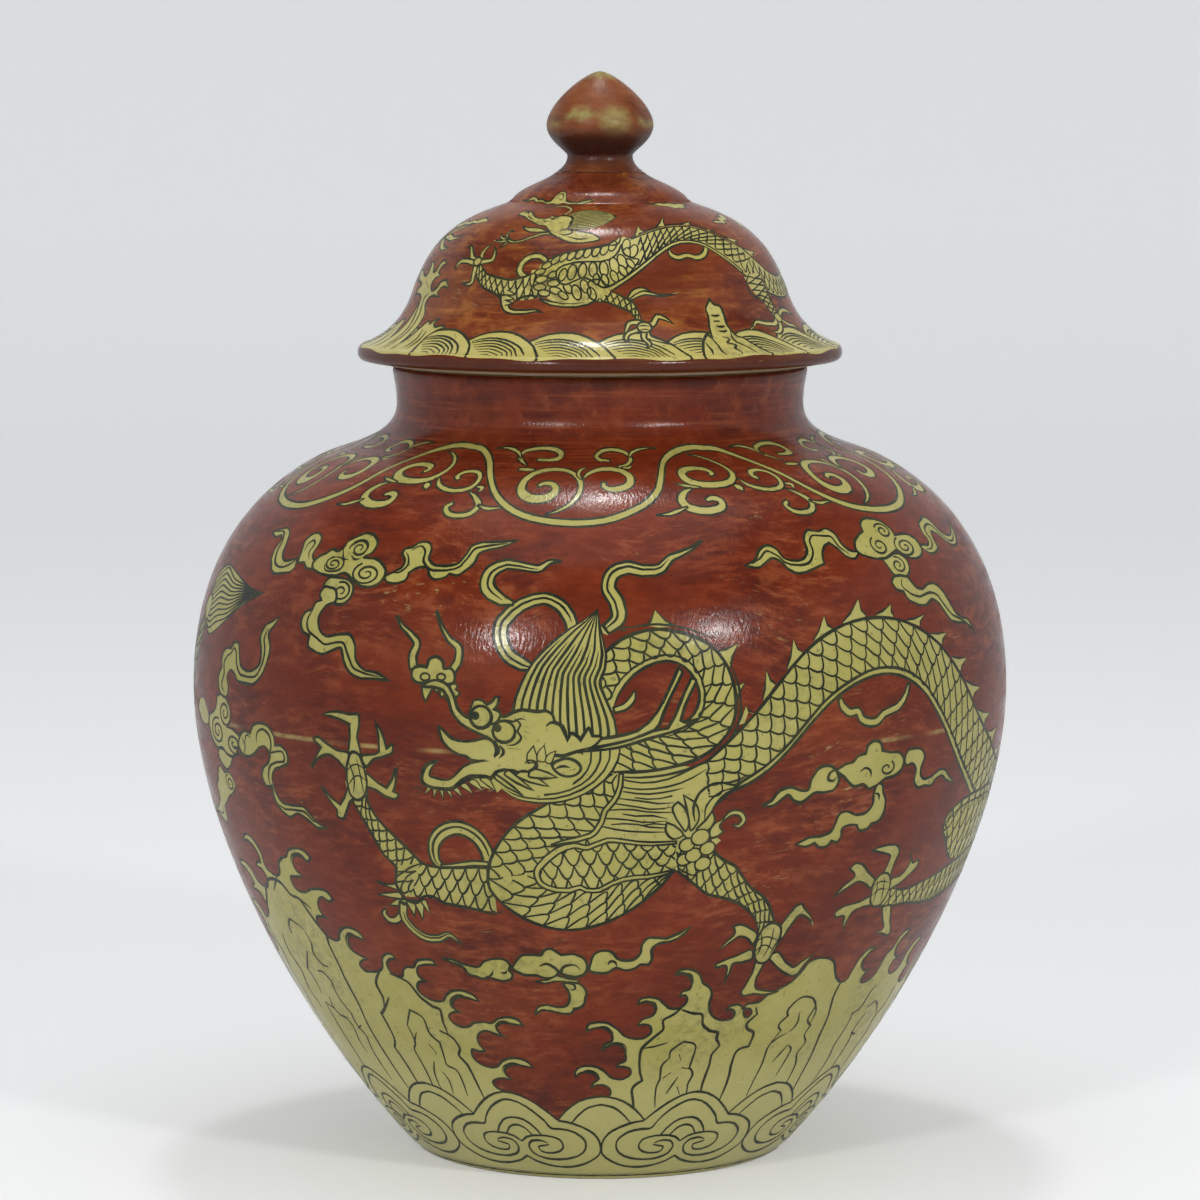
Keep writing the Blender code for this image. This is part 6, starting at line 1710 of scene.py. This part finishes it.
each(ink, lid, "9.8,12.8 11.2,13 12.8,12.6 / 10,11.6 11.2,11.8 12.6,11.4", 0.4)
ribbon(lid, "-16.4,20.6,0.4 -13.4,19.5,1 -10,19,1.1 -6.6,19,1.1 -3.4,19.7,1.1 -1.4,20.6,0.6", 0.5)
ribbon(lid, """-18.6,27,1 -22,27,1.6 -23.9,28.6,1.8 -23.4,31.2,1.8 -21.2,33,1.8 -18.4,33.1,1.7
-16.4,31.8,1.6 -15.8,30,1.2""", 0.55)
reserve(lid, """-16.6,31 -13,33.2 -8,34.6 -3,35.6 2,36.6 6.6,39.8 10,39.4 12.6,36.4 12,32 8,27.6 3,23.4
0,21 -3.4,20 -7,19.6 -11,19.8 -15.6,21.4 -20,21.6 -21,27""", 0.0)
scaly(lid, """-40.2,30.6 -37.4,29.4 -34.6,27.3 -30,26.2 -25.4,25.8 -21,27 -17,29""",
    """-40.6,29.4 -37.8,26.4 -34.6,23.6 -30,22 -26,20.8 -22,20.2 -15.6,21.4""", 2, 2.1, 0.42, 0.1)
each(ink, lid, """-39.4,31 -37.4,29.6 -34.6,27.4 -30,26.4 -25.4,25.9 -21,27.2 -17,29 / -41,30 -38.4,26.6
-34.8,23.4 -30,21.8 -28.2,20.4 -27.4,18 / -24.4,18.6 -23,20.4 -19,21.6 -15.6,21.2""", 0.6)
ribbon(lid, """-26.6,21.6,3.2 -26.4,19.4,2.6 -25.6,17.6,1.6 -23.4,16.8,1.2 -20,16.9,1.1 -17,17.3,0.6
-15,16.6,0.1""", 0.5)
scaly(lid, "-26.6,23 -26.8,20.8 -26.4,18.6", "-24,22.6 -24,20.6 -24.6,18.8", 1, 1.6, 0.4, 0.1)
each(spot, lid, """-15.6,30.4,1.7,0.5 / -13.2,32,1.7,0.8 / -11,32.9,1.7,0.9 / -8.6,33.5,1.8,1 /
-6.2,34,1.8,1 / -3.8,34.4,1.8,1.1 / -1.2,34.9,1.9,1.1 / 1.4,35.5,2,1.1 / 4,36.8,2,1.1 / -17.4,28.4,1.6,0.3
/ -16.6,26.2,1.8,0.2 / -16.8,24,1.8,0 / -15.4,22.3,1.7,-0.1 / -13.4,27.6,1.7,0.4 / -13,25.2,1.8,0.1 /
-12.2,23,1.8,-0.3 / -10,21.7,1.6,-0.6 / -8.9,23.9,1.8,-1 / -6.4,22.6,2.2,-1.2 / -4.2,24.3,2,-1.2 /
-2.2,22.3,1.9,-1.1 / 8.4,37.2,2.2,1.2 / 10.4,35,2.3,1.1 / 8,34,2.2,1.2""", YELLOW, 0.55, 0.4)
reserve(lid, """-12.6,28.6 -11,30.2 -8,31.2 -4,31.6 0,31.6 3.4,32.6 5.8,35 6.8,38* 7.4,34 9.8,32.6
11.6,32.2 9,28.6 5,25.6 1,24 -2.4,26 -4.6,26.8 -7,26 -9.6,24.8 -11.6,25.6""", 0.5)
each(spot, lid, """-10.6,27.6,1.9,1.3 / -8,28.4,2.3,1.4 / -5,28.9,2.2,1.5 / -2,29.2,2.2,1.6 /
1.1,29.4,2.3,1.7 / 4.2,30.4,2.5,1.8 / 6.6,31.6,2.4,1.9 / -1,26.4,1.6,1.6 / 1.4,26.2,1.7,1.9 / 4,27.2,1.8,2
/ 6.6,28.8,1.8,2.1 / 9,31,1.7,2.2""", YELLOW, 0.55, 0.42)
ink(lid, "-3.4,20.4 -2.4,22.8 -3.4,25.2 -2,26.2 0.6,26 2,24.4", 0.5)
ink(lid, "-16.6,31.4 -13,33.6 -8,35 -3,36 2,37 5.4,39 6.6,40.6", 0.6)
ink(lid, "2,37 5.6,37.4 6.8,39.6 6.2,43", 0.55)
each(ribbon, lid, """-40,31,1.8 -43,32.2,1.6 -44.8,34.2,1.2 -46.4,35.6,0.8 -48.4,35.7,0.1 / -40.6,30.4,1.6
-44,31,1.5 -47.4,30.8,1.4 -48.4,29.4,1 -48,28,0.1 / -39,31.6,1.6 -39.4,34,1.3 -38.6,35.8,1 -37.4,36.8,0.1
/ -39,30.8,1.6 -36.6,31.2,1.4 -34.4,31.8,1.3 -34.6,34,1 -36,36.2,0.1 / -40,30,1.7 -39.6,27,1.4
-39.4,24.8,1.3 -41,24.2,0.9 -43,24.6,0.1""", 0.5)
spot(lid, "-40,31,1.5", YELLOW, 0.9, 0.5)
ribbon(lid, """-12,41,1.6 -16,41.4,1.4 -20,41.2,1.1 -23.4,40,1 -26.4,38.4,0.9 -29.6,37.8,0.9
-32.4,38.6,1.1""", 0.5)
each(ribbon, lid, """-32,38.6,1 -33.8,40.4,0.9 -33.4,42,0.8 -31.6,41.8,0.1 / -32.4,38.6,1 -35.4,39.4,0.9
-36.6,41.2,0.1 / -32.4,38.2,1 -35,37.8,0.9 -38,38.2,0.1 / -31.8,38,1 -32.6,36.6,0.8 -34,35.8,0.1""", 0.45)
strands(lid, """-14,50.6 -12,52.6 -8,54 -3,54.4 2,53.2 7.6,50.4""", """-12,44 -7,43.2 -2,44 2,45.8 5,48
7.6,50.4""", 13, 0.34, (0.6, 0.2), 5.0, 0.8)
reserve(lid, """-38.6,53.2* -39,51 -37,50.2 -33.6,49.4 -30,47.6 -26.6,46.4 -23.4,45 -20.6,44.6 -17.6,41.6
-14,39.6 -9,37.8 -4,38 0,39.2 -3,41.6 -8,42.6 -11.6,43.6 -11,46.6 -12,49.6 -15,50.6 -19,50 -21,50.4 -22,49
-26,48.8 -29,49.8 -31.6,51.6 -33.4,52.8 -36,52.9""", 0.55)
reserve(lid, "-30,44.6* -27,43.8 -24,43.9 -21.4,43.4 -19,42.2 -21.6,41.9 -25,41.8 -27.6,42.6", 0.5)
each(ink, lid, """-21.6,49.6 -19.6,48.4 -18,49.4 -19.8,50.2 / -14.6,42.4 -12,43.4 -9.6,42 -12,40.8
-14.6,41.6 / -36.6,51.6 -35,52.3 -33.6,51.4 / -33,50.4 -30,48.8 -27,47.6 / -20.6,47 -22.6,47.2 -23.4,48.2
/ -16,46.6 -13.6,46.2 / -11,40.2 -7,39.2 -3.6,39.6 / -26,47 -24.6,46.2""", 0.5)
spot(lid, "-19.6,49.2,0.45")
ink(lid, "-12.4,50.6 -11,48.6 -11.6,46.4 -10.6,44.4", 0.5)
ribbon(lid, "-16,51,1 -14,54.6,1.3 -18,57,1.2 -24,57,0.8 -30,55.6,0.1", 0.45)


# The enamels on the lid. The strokes are counted from the top of the brim's edge. The edge itself is a red
# band that wavers as the brush did, darker than the rest, with the glaze bare at its lowest line.
WAVES = 20
WAVE_START = 8.3
SECOND_DRAGON = 14.0
LID_SEAM = -80.0
RIM_POINTS = 221
RIM_TOP = -1.5
RIM_END = 3.0
lid_wall_line = list(reversed(lid_outside[1:]))
lid_wall = bpy.data.objects.new("lid_wall_line", line_mesh("lid_wall_line", lid_wall_line))
steps_up = [(two - one).length for one, two in zip(lid_wall_line, lid_wall_line[1:])]
edge_top = LID_SEAT + FLARE[1] - UNDER + 0.01
edge_run = sum(step for step, point in zip(steps_up, lid_wall_line[1:]) if point.z < edge_top)
lid_run = sum(steps_up)
lid_girth = math.tau * WAIST[0]
lid_strokes = []
for wave in range(WAVES, -1, -1):
    lid_strokes += repeated(lid_border, WAVE_START + lid_girth / WAVES * (wave - WAVES // 2), 0.0, 1)
lid_strokes += repeated(lid, 0.0, lid_girth / 2 - SECOND_DRAGON, 2)
rim_turn = np.linspace(0.0, 1.0, RIM_POINTS)
rim_wobble = 0.35 * np.sin(rim_turn * math.tau * 9) + 0.25 * np.sin(rim_turn * math.tau * 23 + 1.0)
rim_top = np.stack([LID_SEAM + rim_turn * lid_girth, RIM_TOP + rim_wobble], axis=1)
rim_low = np.stack([LID_SEAM + rim_turn * lid_girth, 1.0 - edge_run + 0.15 * rim_wobble], axis=1)
lid_strokes.append((RED, "strip", rim_top, rim_low))
lid_strokes.append((YELLOW, "strip", rim_low, rim_low - np.array([0.0, RIM_END])))
lid_painting = repeated(lid_strokes, 0.0, 0.0, 1, edge_run)

# The lid's red is thinner and more orange than the jar's, and it was brushed on partly while turning.
LID_GROUND = (0.25, 0.054, 0.017)
LID_THIN = (0.40, 0.145, 0.03)
RIM_DARK = (0.085, 0.022, 0.012, 1.0)
RIM_SHARE = 0.8
ON_LID = {**ENAMELLED, "drum": WAIST[0] * MM, "step": 1.0 / (WAIST[0] * MM)}
lid_red = ware(
    "lid_red_enamel", ON_LID, brushed_enamel, ground=LID_GROUND, thick=RED_THICK, thin=LID_THIN,
    beneath=WORN_YELLOW, thin_share=1.0, wear=0.8, turned=0.35,
)[0]
node, reckon = hands(lid_red.node_tree)
up = node("ShaderNodeSeparateXYZ", {0: node("ShaderNodeUVMap", uv_map="chart")}).outputs[1]
dark_rim = graded(node, up, (edge_run + 0.5) * MM, (edge_run - 2.5) * MM, 0.0, RIM_SHARE)
shader = lid_red.node_tree.nodes["Principled BSDF"]
painted_colour = shader.inputs["Base Color"].links[0].from_socket
lid_red.node_tree.links.new(blended(node, dark_rim, painted_colour, RIM_DARK), shader.inputs["Base Color"])
lid_black = ware("lid_black_outline", {**ON_LID, "rings": 0.0, "dull": 0.2}, stained_glaze, **LINE_INK)[0]
LID_ENAMELS = {RED: ("red", "red_enamel", lid_red), BLACK: ("outline", "black_outline", lid_black)}

BRIM_ROWS = 0.4
DOME_ROWS = 1.6
STEP_ROWS = 0.7
dome_start = edge_run + 1.5
step_start = edge_run + 58.0
brim_rows, dome_rows = (0.05, dome_start, BRIM_ROWS), (dome_start, step_start, DOME_ROWS)
lid_rows = levels(brim_rows, dome_rows, (step_start, lid_run - 0.05, STEP_ROWS))
on_dome = ("lid", lid_wall, WAIST[0], lid_painting, LID_SEAM, LID_SEAM + lid_girth)
painted("lid", *on_dome, lid_rows, DOME_ROWS, LID_ENAMELS)


# The collar under the lid, which keeps it centred in the neck. It is thrown with the lid and left unglazed,
# with a small taper and soft edges.
COLLAR_PLAY = 1.2
COLLAR_RADIUS = NECK[0] - JAR_WALL - COLLAR_PLAY
COLLAR_WALL = 3.6
COLLAR_DEPTH = 14.0
COLLAR_TAPER = 0.8
COLLAR_ROUND = 1.2
SMALL_TURNINGS = 144
NO_ROW = 999
collar_top = LID_SEAT - 0.3
collar_foot = LID_SEAT - COLLAR_DEPTH
edge_start = collar_foot + COLLAR_ROUND
collar_out = COLLAR_RADIUS - UNDER - COLLAR_TAPER
collar_in = COLLAR_RADIUS - COLLAR_WALL - COLLAR_TAPER / 2
collar_line = run_together(
    [at(COLLAR_RADIUS - UNDER, collar_top), at(COLLAR_RADIUS - UNDER, collar_top)],
    rounded((collar_out, edge_start), (collar_out, collar_foot), (collar_out - COLLAR_ROUND, collar_foot)),
    rounded((collar_in + COLLAR_ROUND, collar_foot), (collar_in, collar_foot), (collar_in, edge_start)),
    [at(COLLAR_RADIUS - COLLAR_WALL, collar_top), at(COLLAR_RADIUS - UNDER - 0.03, collar_top)],
)
collar_line.reverse()
ONE_COAT = {"turnings": SMALL_TURNINGS, "first_row_of_inside": NO_ROW, "first_row_of_base": NO_ROW}
collar = made_by(
    wheel, "lid_collar", line_mesh("collar_profile", collar_line), last_bare_row=0, **ONE_COAT,
    outside=bare_porcelain, inside=bare_porcelain, bare=bare_porcelain,
)
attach(collar, "lid")
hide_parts("lid_flange")


# The bud knob: a solid turned bud on a waisted stem, stuck on with slip before the glaze. It is painted
# plain red, and hands have worn it back to the yellow at its tip and round its widest part.
KNOB_BASE = LID_SEAT + STEP_TOP[1] + 0.3
KNOB_TIP = (0.0, KNOB_BASE + 27.3)
KNOB_WIDEST = (14.9, KNOB_BASE + 12.5)
KNOB_STEM = (9.1, KNOB_BASE + 4.0)
KNOB_FOOT = (12.0, KNOB_BASE - 0.25)
KNOB_UNDER = 0.05
KNOB_GROUND = (0.27, 0.075, 0.025)
KNOB_THICK = (0.10, 0.026, 0.014)
KNOB_THIN = (0.36, 0.15, 0.045)
KNOB_BENEATH = (0.40, 0.34, 0.12)
TIP_BEND = ((0.26, 0.0), (1.0, 0.60))
BUD_BEND = ((0.0, 0.52), (1.0, 0.85))
STEM_BEND = ((0.0, 0.40), (0.45, 0.80))
ON_KNOB = {**ENAMELLED, "step": 1.0, "drum": KNOB_WIDEST[0] * MM, "dull": 0.26}
knob_enamel, knob_paint = ware(
    "knob_enamel", ON_KNOB, brushed_enamel, ground=KNOB_GROUND, thick=KNOB_THICK, thin=KNOB_THIN,
    beneath=KNOB_BENEATH, thin_share=0.9, wear=0.6, turned=0.3,
)

# The wear: a broken band round the widest part, a place where the thumb rests, and the tip. Below the widest
# part the red lies thick and nearly black.
BAND_HEIGHT = (KNOB_WIDEST[1] + 2.2) * MM
THUMB = (4.4 * MM, -14.0 * MM, (KNOB_WIDEST[1] + 1.6) * MM)
THUMB_REACH = (6.5 * MM, 1.5 * MM)
BAND_REACH = (4.5 * MM, 1.0 * MM)
SHADE = (0.045, 0.016, 0.010, 1.0)
SHADE_SHARE = 0.9
node, reckon = hands(knob_enamel.node_tree)
point = node("ShaderNodeTexCoord").outputs["Object"]
height = node("ShaderNodeSeparateXYZ", {0: point}).outputs[2]
off_widest = reckon("ABSOLUTE", reckon("SUBTRACT", height, BAND_HEIGHT))
feeds = {"Vector": point, "Scale": 75.0, "Detail": 2.0, "Roughness": 0.5}
blotches = node("ShaderNodeTexNoise", feeds).outputs[0]
band_wear = reckon("MULTIPLY", graded(node, off_widest, *BAND_REACH), graded(node, blotches, 0.48, 0.60))
thumb = node("ShaderNodeVectorMath", {0: point, 1: THUMB}, operation="DISTANCE").outputs["Value"]
thumb_blotches = graded(node, blotches, 0.36, 0.50, 0.45, 0.9)
thumb_wear = reckon("MULTIPLY", graded(node, thumb, *THUMB_REACH), thumb_blotches)
tip_wear = graded(node, height, (KNOB_TIP[1] - 3.0) * MM, (KNOB_TIP[1] - 0.6) * MM)
worn = reckon("MAXIMUM", reckon("MAXIMUM", band_wear, thumb_wear), tip_wear)
knob_enamel.node_tree.links.new(worn, knob_paint.inputs["Extra Wear"])
below_bud = graded(node, height, (KNOB_WIDEST[1] + 0.5) * MM, (KNOB_WIDEST[1] - 4.5) * MM)
above_foot = graded(node, height, (KNOB_FOOT[1] + 0.5) * MM, (KNOB_STEM[1] + 1.5) * MM)
shaded = reckon("MULTIPLY", reckon("MULTIPLY", below_bud, above_foot), SHADE_SHARE)
under_bud = blended(node, shaded, knob_paint.outputs["Color"], SHADE)
shader = knob_enamel.node_tree.nodes["Principled BSDF"]
knob_enamel.node_tree.links.new(under_bud, shader.inputs["Base Color"])
knob_line = run_together(
    bent(KNOB_TIP, TIP_BEND, KNOB_WIDEST, 40),
    bent(KNOB_WIDEST, BUD_BEND, KNOB_STEM, 24),
    bent(KNOB_STEM, STEM_BEND, KNOB_FOOT, 14),
    [at(0.0, KNOB_FOOT[1])],
)
knob_line = [at(max(point.x - KNOB_UNDER, 0.0), point.z) for point in knob_line]
knob_line.reverse()
knob = made_by(
    wheel, "knob", line_mesh("knob_profile", knob_line), last_bare_row=0, **ONE_COAT,
    outside=knob_enamel, inside=knob_enamel, bare=knob_enamel,
)
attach(knob, "lid")
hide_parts("lid_knob")
